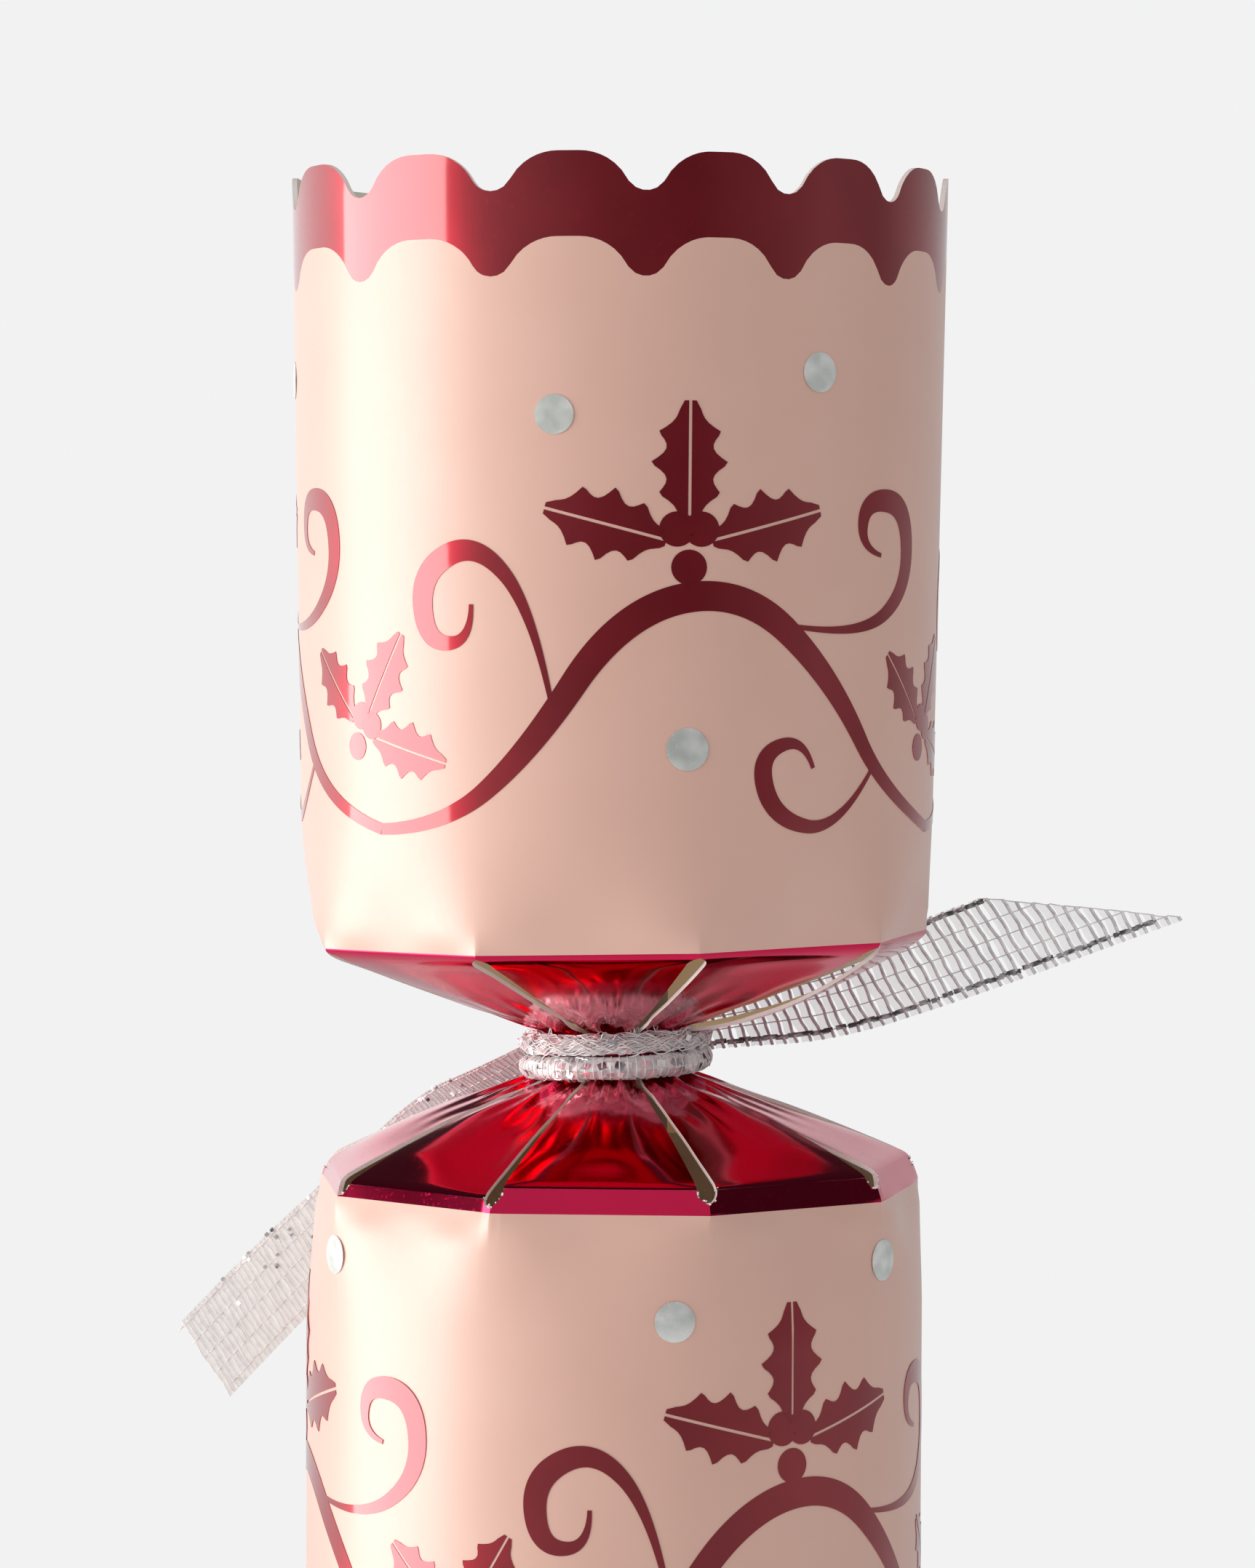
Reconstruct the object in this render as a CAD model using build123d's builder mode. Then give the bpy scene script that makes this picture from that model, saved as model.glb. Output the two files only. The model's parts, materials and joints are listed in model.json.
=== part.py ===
from build123d import *

import os
from math import atan, cos, degrees, hypot, pi, radians, sin, sqrt, tan

# A table cracker that two people pull apart. Three card tubes stand in line on the Z axis: a lower end,
# the barrel and an upper end. Two necks of folded strips join them, each choked by a tied ribbon.
# Millimetres. The origin is the middle of the lower rim, on the surface that the cracker stands on.
# The front looks along -Y, and the glued seam of the wrapper is at the back, on +Y.

# Tubes
end_length = 61.0  # from the fold of an end to the crests of its scalloped rim
neck_end_height = 9.0  # from the fold of an end to the middle of the tie
neck_barrel_height = 9.5  # from the fold of the barrel to the middle of the tie
barrel_length = 141.0
barrel_radius = 25.0
end_spread = 0.4  # by which an end is wider than the barrel at its fold
rim_flare = 1.1  # by which an end widens from its fold to its rim
shoulder_height = 12.0  # over which the flats at a fold become a round tube

# Card and paper
wrap_card = 0.4
liner_card = 0.5
core_card = 0.8
glue_gap = 0.1  # between the wrapper and the card rolled inside it
liner_rim_margin = 6.0  # from the troughs of the rim down to the liner
roll_opening = 3.0  # between the two edges of a rolled liner or core
seam_lap = 9.0  # width of the wrapper's glued overlap
seam_angle = 90.0

# Neck strips, cut apart by slots
strip_count = 9
slot_width = 1.5  # at the fold
slot_width_tied = 0.3  # at the tie
slot_angle = -74.0  # of the first slot
neck_twist = 2.4  # by which an end is turned against the barrel
choke_flat = 5.4  # from the axis to the outer face of a gathered strip
choke_height = 3.5  # from the middle of the tie to where the strips spread
strip_crown = 0.6  # by which a strip bulges outwards
fold_rise = 0.6  # straight card at the fold
fold_bend = 0.6
crown_bend = 12.0
choke_bend = 1.5
tear_gap = 0.2  # where the perforated strips tear

# Scalloped rim
scallop_count = 14
scallop_depth = 3.0
trough_radius = 1.7
crest_flat = 1.6
scallop_angle = -88.5  # of the first trough

# Ribbon ties
ribbon_width = 7.5
ribbon_thickness = 0.3
bunch_width = 3.4  # of the ribbon drawn together at the knot
bunch_thickness = 0.9
cord_diameter = 1.7  # of the ribbon where it is bunched round the neck
winding_pitch = 2.2
winding_turns = 2
winding_gap = 0.3  # from the corners of the gathered strips
knot_width = 4.8
knot_depth = 2.8
knot_height = 6.4
knot_round = 1.0
tail_seat = 1.7  # from the winding's centreline out to where a tail leaves the knot
lower_tie_turn = 24.0  # by which the lower tie is turned against the upper one

# Snap: two card strips that overlap in the barrel
snap_width = 8.4
snap_card = 0.4
snap_slack = 0.5  # between the two strips
snap_overlap = 40.0
snap_straight = 4.5  # from the middle of the tie to where a snap strip leans to the wall
snap_lean_height = 10.0  # above the fold, where a snap strip meets the wall
snap_rim_margin = 12.0  # from the crests of the rim to the end of a snap strip
snap_wall_gap = 0.3
snap_bend = 5.0
charge_length = 18.0
charge_width = 6.0
charge_thickness = 0.2
sleeve_length = 30.0
sleeve_paper = 0.2
sleeve_gap = 0.2

# Contents of the barrel
rest_gap = 0.3
hat_length = 78.0
hat_paper = 0.6
hat_layer_pitch = 1.2
hat_bore_radius = 3.2
hat_half_turns = 7
hat_axis_distance = 14.2
motto_width = 28.0
motto_length = 52.0
motto_paper = 0.3
motto_fold_radius = 0.6
motto_axis_distance = 15.0
prize_axis_distance = 14.0
prize_disc_radius = 8.0
prize_tip_radius = 0.8
prize_tip_height = 7.5
prize_tip_slope = 0.35  # of the point's side where it leaves the tip
prize_disc_height = 5.0
prize_stem_radius = 1.6
prize_stem_height = 11.0
prize_knob_radius = 2.4

# Levels along the axis
lower_fold_z = end_length
lower_choke_z = lower_fold_z + neck_end_height
barrel_bottom_z = lower_choke_z + neck_barrel_height
barrel_top_z = barrel_bottom_z + barrel_length
upper_choke_z = barrel_top_z + neck_barrel_height
upper_fold_z = upper_choke_z + neck_end_height
upper_rim_z = upper_fold_z + end_length
middle_z = (barrel_bottom_z + barrel_top_z) / 2

# Sizes that follow from those above
end_fold_radius = barrel_radius + end_spread
rim_radius = end_fold_radius + rim_flare
strip_angle = 360 / strip_count
half_strip = radians(strip_angle / 2)
barrel_slot_angle = slot_angle + neck_twist / 2
end_slot_angle = slot_angle - neck_twist / 2
choke_corner = choke_flat / cos(half_strip)
winding_radius = choke_corner + winding_gap + cord_diameter / 2
snap_offset = (snap_slack + snap_card) / 2

# The tails of a tie, as points on the ribbon's centreline measured from the middle of the tie,
# each with the direction of the ribbon's upper edge
right_tail = [
    ((9.4, 10.8, 0.3), (-0.1, 0.75, 0.65)),
    ((17.6, 12.0, 1.9), (-0.2, 0.45, 0.87)),
    ((26.7, 11.4, 5.6), (-0.36, 0.1, 0.93)),
    ((36.3, 10.2, 9.6), (-0.38, 0.0, 0.92)),
    ((45.6, 9.0, 13.2), (-0.38, 0.0, 0.92)),
]
left_tail = [
    ((-8.6, 12.4, -0.9), (-0.3, -0.6, 0.74)),
    ((-15.0, 17.6, -4.2), (-0.45, -0.45, 0.77)),
    ((-21.6, 21.6, -12.6), (-0.6, -0.25, 0.75)),
    ((-28.9, 22.8, -21.8), (-0.69, 0.0, 0.72)),
    ((-35.8, 22.8, -30.0), (-0.69, 0.0, 0.72)),
]
# The oblique cut of the right tail, seen from the front
right_cut_upper = (28.5, 11.6)
right_cut_tip = (47.6, 9.9)


def polar(radius, angle):
    """A point at this distance and direction from the axis."""
    return (radius * cos(radians(angle)), radius * sin(radians(angle)))


def radial_plane(angle):
    """The upright plane through the axis that faces this direction, with Z as its vertical."""
    along = polar(1, angle)
    return Plane(origin=(0, 0, 0), x_dir=(along[0], along[1], 0), z_dir=(along[1], -along[0], 0))


def end_radius(height):
    """Outer radius of a flared end at this height from its fold."""
    return end_fold_radius + (rim_radius - end_fold_radius) * height / end_length


def flat_sides(corner_radius, first_corner):
    """Straight sides between the slots, as the card folds."""
    for side in range(strip_count):
        start = first_corner + side * strip_angle
        Line(polar(corner_radius, start), polar(corner_radius, start + strip_angle))


def round_sides(radius, first_corner):
    """The same sides as arcs of one circle."""
    for side in range(strip_count):
        start = first_corner + side * strip_angle
        middle = start + strip_angle / 2
        ThreePointArc(polar(radius, start), polar(radius, middle), polar(radius, start + strip_angle))


def shoulder(fold_radius, fold_z, round_radius, round_z, first_corner):
    """The wall of a tube from its flat-sided fold to its round part."""
    inner_fold_radius = fold_radius - wrap_card / cos(half_strip)
    with BuildPart() as wall:
        for outline_radius, arc_radius, mode in [
            (fold_radius, round_radius, Mode.ADD),
            (inner_fold_radius, round_radius - wrap_card, Mode.SUBTRACT),
        ]:
            with BuildSketch(Plane.XY.offset(fold_z)):
                with BuildLine():
                    flat_sides(outline_radius, first_corner)
                make_face()
            with BuildSketch(Plane.XY.offset(round_z)):
                with BuildLine():
                    round_sides(arc_radius, first_corner)
                make_face()
            loft(ruled=True, mode=mode)
    return wall.part


def slot_end(fold_z, reach):
    """The round end of a slot, which reaches into the tube's wall, as a cutter on the X axis."""
    with BuildPart() as cutter:
        with BuildSketch(Plane.YZ.offset(reach / 2)):
            with Locations((0, fold_z)):
                Circle(slot_width / 2)
        extrude(amount=reach)
    return cutter.part


def scallop(rim_z, outward):
    """The card cut away between two crests of a rim, as a cutter on the X axis."""
    half_span = rim_radius * sin(pi / scallop_count) - crest_flat / 2
    turn = 2 * atan(scallop_depth / half_span)
    crest_radius = half_span / sin(turn) - trough_radius
    bend_x = trough_radius * sin(turn)
    bend_depth = crest_radius * (1 - cos(turn))
    middle_x = half_span - crest_radius * sin(turn / 2)
    middle_depth = crest_radius * (1 - cos(turn / 2))

    def at(x, depth):
        return (x, rim_z - outward * depth)

    with BuildPart() as cutter:
        with BuildSketch(Plane.YZ.offset(rim_radius / 2)):
            with BuildLine():
                ThreePointArc(at(-half_span, 0), at(-middle_x, middle_depth), at(-bend_x, bend_depth))
                ThreePointArc(at(-bend_x, bend_depth), at(0, scallop_depth), at(bend_x, bend_depth))
                ThreePointArc(at(bend_x, bend_depth), at(middle_x, middle_depth), at(half_span, 0))
                Line(at(half_span, 0), at(half_span, -scallop_depth))
                Line(at(half_span, -scallop_depth), at(-half_span, -scallop_depth))
                Line(at(-half_span, -scallop_depth), at(-half_span, 0))
            make_face()
        extrude(amount=rim_radius)
    return cutter.part


def lap(profile_radius, start_z, finish_radius, finish_z):
    """The wrapper's outer edge, glued down over its inner edge at the back."""
    lap_angle = degrees(seam_lap / barrel_radius)
    with BuildPart() as strip:
        with BuildSketch(radial_plane(seam_angle - lap_angle / 2)):
            with BuildLine():
                Polyline(
                    (profile_radius - wrap_card, start_z),
                    (profile_radius + wrap_card, start_z),
                    (finish_radius + wrap_card, finish_z),
                    (finish_radius - wrap_card, finish_z),
                    close=True,
                )
            make_face()
        revolve(axis=Axis.Z, revolution_arc=lap_angle)
    return strip.part


def make_end_wrap(fold_z, outward):
    """The flared wrapper of one end; outward is 1 for the upper end and -1 for the lower one."""
    round_z = fold_z + outward * shoulder_height
    rim_z = fold_z + outward * end_length
    round_radius = end_radius(shoulder_height)
    fold_wall = shoulder(end_fold_radius, fold_z, round_radius, round_z, end_slot_angle)
    glued_edge = lap(round_radius, round_z, rim_radius, rim_z)
    slot_cutter = slot_end(fold_z, end_fold_radius)
    rim_cutter = scallop(rim_z, outward)
    with BuildPart() as wrap:
        with BuildSketch(Plane.XZ):
            with BuildLine():
                Polyline(
                    (round_radius - wrap_card, round_z),
                    (round_radius, round_z),
                    (rim_radius, rim_z),
                    (rim_radius - wrap_card, rim_z),
                    close=True,
                )
            make_face()
        revolve(axis=Axis.Z)
        add(fold_wall)
        add(glued_edge)
        with PolarLocations(0, scallop_count, start_angle=scallop_angle):
            add(rim_cutter, mode=Mode.SUBTRACT)
        with PolarLocations(0, strip_count, start_angle=end_slot_angle):
            add(slot_cutter, mode=Mode.SUBTRACT)
    return wrap.part


def make_barrel_wrap():
    """The wrapper of the barrel, with flats at both folds."""
    low_z = barrel_bottom_z + shoulder_height
    high_z = barrel_top_z - shoulder_height
    low_wall = shoulder(barrel_radius, barrel_bottom_z, barrel_radius, low_z, barrel_slot_angle)
    high_wall = shoulder(barrel_radius, barrel_top_z, barrel_radius, high_z, barrel_slot_angle)
    glued_edge = lap(barrel_radius, low_z, barrel_radius, high_z)
    low_cutter = slot_end(barrel_bottom_z, barrel_radius)
    high_cutter = slot_end(barrel_top_z, barrel_radius)
    with BuildPart() as wrap:
        with BuildSketch(Plane.XY.offset(low_z)):
            Circle(barrel_radius)
            Circle(barrel_radius - wrap_card, mode=Mode.SUBTRACT)
        extrude(amount=high_z - low_z)
        add(low_wall)
        add(high_wall)
        add(glued_edge)
        with PolarLocations(0, strip_count, start_angle=barrel_slot_angle):
            add(low_cutter, mode=Mode.SUBTRACT)
            add(high_cutter, mode=Mode.SUBTRACT)
    return wrap.part


def strip_route(fold_radius, neck_height):
    """The middle of a strip's card from the fold to the tear, as distances from the axis and the tie."""
    fold_middle = fold_radius * cos(half_strip) - wrap_card / 2
    choke_middle = choke_flat - wrap_card / 2
    fold_top = neck_height - fold_rise
    crown_middle = (fold_middle + choke_middle) / 2
    crown_height = (fold_top + choke_height) / 2 - strip_crown
    return [
        (fold_middle, neck_height),
        (fold_middle, fold_top),
        (crown_middle, crown_height),
        (choke_middle, choke_height),
        (choke_middle, tear_gap / 2),
    ]


def make_neck_strips(choke_z, toward, fold_radius, neck_height, first_slot):
    """The strips between one fold and the tear; toward is 1 when their tube lies above the tie."""
    points = [(distance, choke_z + toward * height)
              for distance, height in strip_route(fold_radius, neck_height)]
    fold_half = fold_radius * sin(half_strip) - slot_width / 2
    tied_half = choke_flat * tan(half_strip) - slot_width_tied / 2
    fold_flat = fold_radius * cos(half_strip)
    widening = (fold_half - tied_half) / (fold_flat - choke_flat)
    tied_inner = choke_flat - 2 * wrap_card
    tied_inner_half = tied_half - 2 * wrap_card * widening
    with BuildPart() as strip:
        with BuildSketch(Plane.XZ):
            with BuildLine():
                FilletPolyline(*points, radius=[fold_bend, crown_bend, choke_bend])
            trace(line_width=wrap_card)
        extrude(amount=fold_half, both=True)
        with BuildSketch(Plane.XY.offset(choke_z - neck_height)):
            with BuildLine():
                Polyline(
                    (tied_inner, -tied_inner_half),
                    (fold_flat, -fold_half),
                    (fold_flat, fold_half),
                    (tied_inner, tied_inner_half),
                    close=True,
                )
            make_face()
        extrude(amount=2 * neck_height, mode=Mode.INTERSECT)
    with BuildPart() as strips:
        with PolarLocations(0, strip_count, start_angle=first_slot + strip_angle / 2):
            add(strip.part)
    return strips.part


def make_end_liner(fold_z, outward):
    """The card rolled inside one end, open at the back where its edges don't quite meet."""
    start = shoulder_height + glue_gap
    finish = end_length - scallop_depth - liner_rim_margin
    start_radius = end_radius(start) - wrap_card - glue_gap
    finish_radius = end_radius(finish) - wrap_card - glue_gap
    opening_angle = degrees(roll_opening / start_radius)
    with BuildPart() as liner:
        with BuildSketch(radial_plane(seam_angle + opening_angle / 2)):
            with BuildLine():
                Polyline(
                    (start_radius - liner_card, fold_z + outward * start),
                    (start_radius, fold_z + outward * start),
                    (finish_radius, fold_z + outward * finish),
                    (finish_radius - liner_card, fold_z + outward * finish),
                    close=True,
                )
            make_face()
        revolve(axis=Axis.Z, revolution_arc=360 - opening_angle)
    return liner.part


def make_barrel_core():
    """The stiff card rolled inside the barrel, open at the back where its edges don't quite meet."""
    outer = barrel_radius - wrap_card - glue_gap
    low_z = barrel_bottom_z + shoulder_height + glue_gap
    high_z = barrel_top_z - shoulder_height - glue_gap
    opening_angle = degrees(roll_opening / outer)
    with BuildPart() as core:
        with BuildSketch(radial_plane(seam_angle + opening_angle / 2)):
            with BuildLine():
                Polyline(
                    (outer - core_card, low_z),
                    (outer, low_z),
                    (outer, high_z),
                    (outer - core_card, high_z),
                    close=True,
                )
            make_face()
        revolve(axis=Axis.Z, revolution_arc=360 - opening_angle)
    return core.part


def winding_point(choke_z, turn_angle, tie_turn):
    """A point on the winding's centreline and the direction of the ribbon there."""
    angle = seam_angle + tie_turn + turn_angle
    climb = winding_pitch / 360
    x, y = polar(winding_radius, angle)
    point = Vector(x, y, choke_z + (turn_angle - 180 * winding_turns) * climb)
    along = polar(radians(1) * winding_radius, angle + 90)
    return point, Vector(along[0], along[1], climb).normalized()


def biarc(start, start_way, finish, finish_way):
    """Two arcs that join two points and keep the directions given there."""
    span = finish - start
    ways = start_way + finish_way
    spread = 2 * (1 - start_way.dot(finish_way))
    across = span.dot(ways)
    reach = (sqrt(across**2 + spread * span.dot(span)) - across) / spread
    near = start + start_way * reach
    far = finish - finish_way * reach
    joint = (near + far) * 0.5
    TangentArc(start, joint, tangent=start_way)
    TangentArc(joint, finish, tangent=(far - near).normalized())


def make_tie_winding(choke_z, tie_turn):
    """The bunched ribbon round a neck, with ends that run straight into the knot."""
    quarters = [winding_point(choke_z, 90 * quarter, tie_turn) for quarter in range(4 * winding_turns + 1)]
    first_point, first_way = quarters[0]
    last_point, last_way = quarters[-1]
    lead_in = first_point - first_way * cord_diameter
    lead_out = last_point + last_way * cord_diameter
    with BuildPart() as winding:
        with BuildLine() as path:
            Line(lead_in, first_point)
            for (start, start_way), (finish, finish_way) in zip(quarters, quarters[1:]):
                biarc(start, start_way, finish, finish_way)
            Line(last_point, lead_out)
        with BuildSketch(Plane(origin=lead_in, z_dir=first_way)):
            Circle(cord_diameter / 2)
        sweep(path=path.wires()[0])
    return winding.part


def winding_self_gap(choke_z):
    """The least gap between neighbouring turns, measured on points a degree apart."""
    points = [winding_point(choke_z, angle, 0)[0] for angle in range(0, 360 * winding_turns + 1)]
    distances = [(points[i] - points[j]).length
                 for i in range(len(points)) for j in range(i + 180, len(points))]
    return min(distances) - cord_diameter


def make_tie_knot(choke_z, tie_turn, winding):
    """The knot at the back of a tie, pressed over the ends of the winding."""
    with BuildPart() as knot:
        with BuildSketch(radial_plane(seam_angle + tie_turn).offset(-knot_width / 2)):
            with Locations((winding_radius + knot_depth / 2, choke_z)):
                RectangleRounded(knot_depth, knot_height, knot_round)
        extrude(amount=knot_width)
        add(winding, mode=Mode.SUBTRACT)
    return knot.part


def turned(vector, tie_turn):
    """A point or direction turned about the axis with its tie."""
    return Vector(*vector).rotate(Axis.Z, tie_turn)


def make_tail(choke_z, tie_turn, side, route):
    """A flat tail that leaves the knot on one side; side is 1 to the right and -1 to the left."""
    tie = Vector(0, 0, choke_z)
    start = Vector(side * knot_width / 2, winding_radius + tail_seat, 0)
    points = [start] + [Vector(*point) for point, upper_edge in route]
    edges = [Vector(0, 0, 1)] + [Vector(*upper_edge) for point, upper_edge in route]
    ways = [Vector(side, 0, 0)]
    ways += [after - before for before, after in zip(points, points[2:])]
    ways += [points[-1] - points[-2]]
    widths = [bunch_width] + [ribbon_width] * len(route)
    thicknesses = [bunch_thickness] + [ribbon_thickness] * len(route)
    with BuildPart() as tail:
        for point, edge, way, width, thickness in zip(points, edges, ways, widths, thicknesses):
            place = Plane(
                origin=tie + turned(point, tie_turn),
                x_dir=turned(edge, tie_turn),
                z_dir=turned(way, tie_turn),
            )
            with BuildSketch(place):
                Rectangle(width, thickness)
        loft()
    return tail.part


def make_right_tail(choke_z, tie_turn):
    """The right tail, with its end cut on a long slant."""
    whole = make_tail(choke_z, tie_turn, 1, right_tail)
    above = 2 * ribbon_width
    turn_plane = Plane(origin=(0, 0, choke_z), x_dir=turned((1, 0, 0), tie_turn),
                       z_dir=turned((0, -1, 0), tie_turn))
    with BuildPart() as tail:
        add(whole)
        with BuildSketch(turn_plane):
            with BuildLine():
                Polyline(
                    right_cut_upper,
                    right_cut_tip,
                    (right_cut_tip[0] + above, right_cut_tip[1] + above),
                    (right_cut_upper[0], right_cut_tip[1] + above),
                    close=True,
                )
            make_face()
        extrude(amount=barrel_radius, both=True, mode=Mode.SUBTRACT)
    return tail.part


def make_snap_strip(choke_z, fold_z, outward):
    """One half of the snap, from the barrel's middle through the neck and along the wall of its end."""
    lean_height = shoulder_height + snap_lean_height
    top_height = end_length - snap_rim_margin

    def wall_distance(height):
        bore = end_radius(height) - wrap_card - glue_gap - liner_card
        return sqrt(bore**2 - (snap_width / 2) ** 2) - snap_wall_gap - snap_card / 2

    middle = outward * snap_offset
    points = [
        (middle, middle_z - outward * snap_overlap / 2),
        (middle, choke_z + outward * snap_straight),
        (wall_distance(lean_height), fold_z + outward * lean_height),
        (wall_distance(top_height), fold_z + outward * top_height),
    ]
    with BuildPart() as strip:
        with BuildSketch(Plane.YZ):
            with BuildLine():
                FilletPolyline(*points, radius=snap_bend)
            trace(line_width=snap_card)
        extrude(amount=snap_width / 2, both=True)
    return strip.part


def make_snap_charge():
    """The friction patch on the lower snap strip."""
    with BuildPart() as charge:
        with BuildSketch(Plane.XZ.offset(snap_slack / 2)):
            with Locations((0, middle_z)):
                RectangleRounded(charge_width, charge_length, charge_width / 4)
        extrude(amount=-charge_thickness)
    return charge.part


def make_snap_sleeve():
    """The paper band round the overlap of the two snap strips."""
    inner_width = snap_width + 2 * sleeve_gap
    inner_depth = snap_slack + 2 * snap_card + 2 * sleeve_gap
    with BuildPart() as sleeve:
        with BuildSketch(Plane.XY.offset(middle_z - sleeve_length / 2)):
            Rectangle(inner_width + 2 * sleeve_paper, inner_depth + 2 * sleeve_paper)
            Rectangle(inner_width, inner_depth, mode=Mode.SUBTRACT)
        extrude(amount=sleeve_length)
    return sleeve.part


def floor_under(reach):
    """The level on the lower strips on which something rests that reaches this far from the axis."""
    route = strip_route(barrel_radius, neck_barrel_height)
    (fold_distance, fold_height), (crown_distance, crown_height) = route[1], route[2]
    slope = (fold_height - crown_height) / (fold_distance - crown_distance)
    height = crown_height + (reach - crown_distance) * slope
    return lower_choke_z + height + wrap_card / 2 * hypot(1, slope) + rest_gap


def make_paper_hat():
    """The tissue crown, folded flat and rolled up."""
    reach = hat_axis_distance + hat_bore_radius + (hat_half_turns * hat_layer_pitch + hat_paper) / 2
    with BuildPart() as hat:
        with BuildSketch(Plane(origin=(0, hat_axis_distance, floor_under(reach)))):
            with BuildLine():
                for half_turn in range(hat_half_turns):
                    side = 1 if half_turn % 2 == 0 else -1
                    start = side * (hat_bore_radius + half_turn * hat_layer_pitch / 2)
                    finish = -side * (hat_bore_radius + (half_turn + 1) * hat_layer_pitch / 2)
                    middle = (start + finish) / 2
                    ThreePointArc((start, 0), (middle, start - middle), (finish, 0))
            trace(line_width=hat_paper)
        extrude(amount=hat_length)
    return hat.part


def make_motto_slip():
    """The motto on a paper slip that is folded once along its length."""
    bottom = floor_under(hypot(motto_axis_distance + motto_fold_radius + motto_paper, motto_width / 2))
    near = -motto_axis_distance + motto_fold_radius
    far = -motto_axis_distance - motto_fold_radius
    with BuildPart() as motto:
        with BuildSketch(Plane.XY.offset(bottom)):
            with BuildLine():
                fold_start = (near, motto_width / 2 - motto_fold_radius)
                fold_finish = (far, motto_width / 2 - motto_fold_radius)
                Line((near, -motto_width / 2), fold_start)
                ThreePointArc(fold_start, (-motto_axis_distance, motto_width / 2), fold_finish)
                Line(fold_finish, (far, -motto_width / 2))
            trace(line_width=motto_paper)
        extrude(amount=motto_length)
    return motto.part


def make_prize():
    """A small spinning top, standing on its point."""
    base = floor_under(prize_axis_distance + prize_tip_radius)
    disc_top = prize_tip_height + prize_disc_height
    stem_top = disc_top + prize_stem_height
    knob_middle = stem_top + sqrt(prize_knob_radius**2 - prize_stem_radius**2)
    axis = Axis((prize_axis_distance, 0, base), (0, 0, 1))
    with BuildPart() as prize:
        with BuildSketch(Plane(origin=(prize_axis_distance, 0, base), x_dir=(1, 0, 0), z_dir=(0, -1, 0))):
            with BuildLine():
                Line((0, 0), (prize_tip_radius, 0))
                TangentArc(
                    (prize_tip_radius, 0), (prize_disc_radius, prize_tip_height), tangent=(1, prize_tip_slope)
                )
                Line((prize_disc_radius, prize_tip_height), (prize_disc_radius, disc_top - prize_tip_radius))
                Line((prize_disc_radius, disc_top - prize_tip_radius), (prize_stem_radius, disc_top))
                Line((prize_stem_radius, disc_top), (prize_stem_radius, stem_top))
                ThreePointArc(
                    (prize_stem_radius, stem_top),
                    (prize_knob_radius, knob_middle),
                    (0, knob_middle + prize_knob_radius),
                )
                Line((0, knob_middle + prize_knob_radius), (0, 0))
            make_face()
        revolve(axis=axis)
    return prize.part


def save(piece, name):
    """Label a finished piece and write it."""
    piece.label = name
    export_step(piece, f"parts/{name}.step")


def build():
    os.makedirs("parts", exist_ok=True)

    save(make_barrel_wrap(), "barrel_wrap")
    save(make_barrel_core(), "barrel_core")

    for name, choke_z, fold_z, outward, tie_turn in [
        ("upper", upper_choke_z, upper_fold_z, 1, 0),
        ("lower", lower_choke_z, lower_fold_z, -1, lower_tie_turn),
    ]:
        save(make_end_wrap(fold_z, outward), f"{name}_end_wrap")
        save(make_end_liner(fold_z, outward), f"{name}_end_liner")
        end_strips = make_neck_strips(choke_z, outward, end_fold_radius, neck_end_height, end_slot_angle)
        save(end_strips, f"{name}_end_neck_strips")
        barrel_strips = make_neck_strips(
            choke_z, -outward, barrel_radius, neck_barrel_height, barrel_slot_angle
        )
        save(barrel_strips, f"barrel_{name}_neck_strips")
        winding = make_tie_winding(choke_z, tie_turn)
        save(winding, f"{name}_tie_winding")
        save(make_tie_knot(choke_z, tie_turn, winding), f"{name}_tie_knot")
        save(make_right_tail(choke_z, tie_turn), f"{name}_tie_right_tail")
        save(make_tail(choke_z, tie_turn, -1, left_tail), f"{name}_tie_left_tail")
        save(make_snap_strip(choke_z, fold_z, outward), f"snap_{name}_strip")

    save(make_snap_charge(), "snap_charge")
    save(make_snap_sleeve(), "snap_sleeve")
    save(make_paper_hat(), "paper_hat")
    save(make_motto_slip(), "motto_slip")
    save(make_prize(), "spinning_top")

    print(f"least gap of a winding to itself: {winding_self_gap(upper_choke_z):.3f} mm")
    print(f"total height: {upper_rim_z:.1f} mm")


build()
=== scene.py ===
import json
from collections import namedtuple
from math import atan, cos, pi, radians, sin, sqrt, tan

import bmesh
import bpy
import numpy as np
from mathutils import Matrix, Vector


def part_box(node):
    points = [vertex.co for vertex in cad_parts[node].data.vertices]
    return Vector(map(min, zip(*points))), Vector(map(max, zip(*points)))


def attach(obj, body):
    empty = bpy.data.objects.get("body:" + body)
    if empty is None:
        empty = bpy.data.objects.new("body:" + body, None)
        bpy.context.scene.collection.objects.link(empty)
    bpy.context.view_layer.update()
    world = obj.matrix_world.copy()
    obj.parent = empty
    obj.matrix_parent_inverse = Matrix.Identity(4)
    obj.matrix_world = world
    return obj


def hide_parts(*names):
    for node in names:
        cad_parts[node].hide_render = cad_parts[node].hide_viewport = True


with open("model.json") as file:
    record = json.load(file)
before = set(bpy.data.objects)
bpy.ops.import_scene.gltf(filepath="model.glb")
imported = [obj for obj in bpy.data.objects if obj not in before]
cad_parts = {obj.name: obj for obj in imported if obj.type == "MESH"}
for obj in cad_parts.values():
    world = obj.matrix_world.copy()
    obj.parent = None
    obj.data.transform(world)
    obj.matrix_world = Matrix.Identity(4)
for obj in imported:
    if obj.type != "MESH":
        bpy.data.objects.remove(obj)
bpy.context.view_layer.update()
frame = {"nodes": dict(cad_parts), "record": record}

# A table cracker of printed card: two flared ends and a barrel, joined by necks of foil strips that are
# choked by tied ribbons. Shapes are worked out in millimetres and made in metres. The front is -Y.
MM = 0.001


def levels(node):
    """Lowest and highest level of a node, in millimetres."""
    low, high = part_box(node)
    return low.z / MM, high.z / MM


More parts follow.
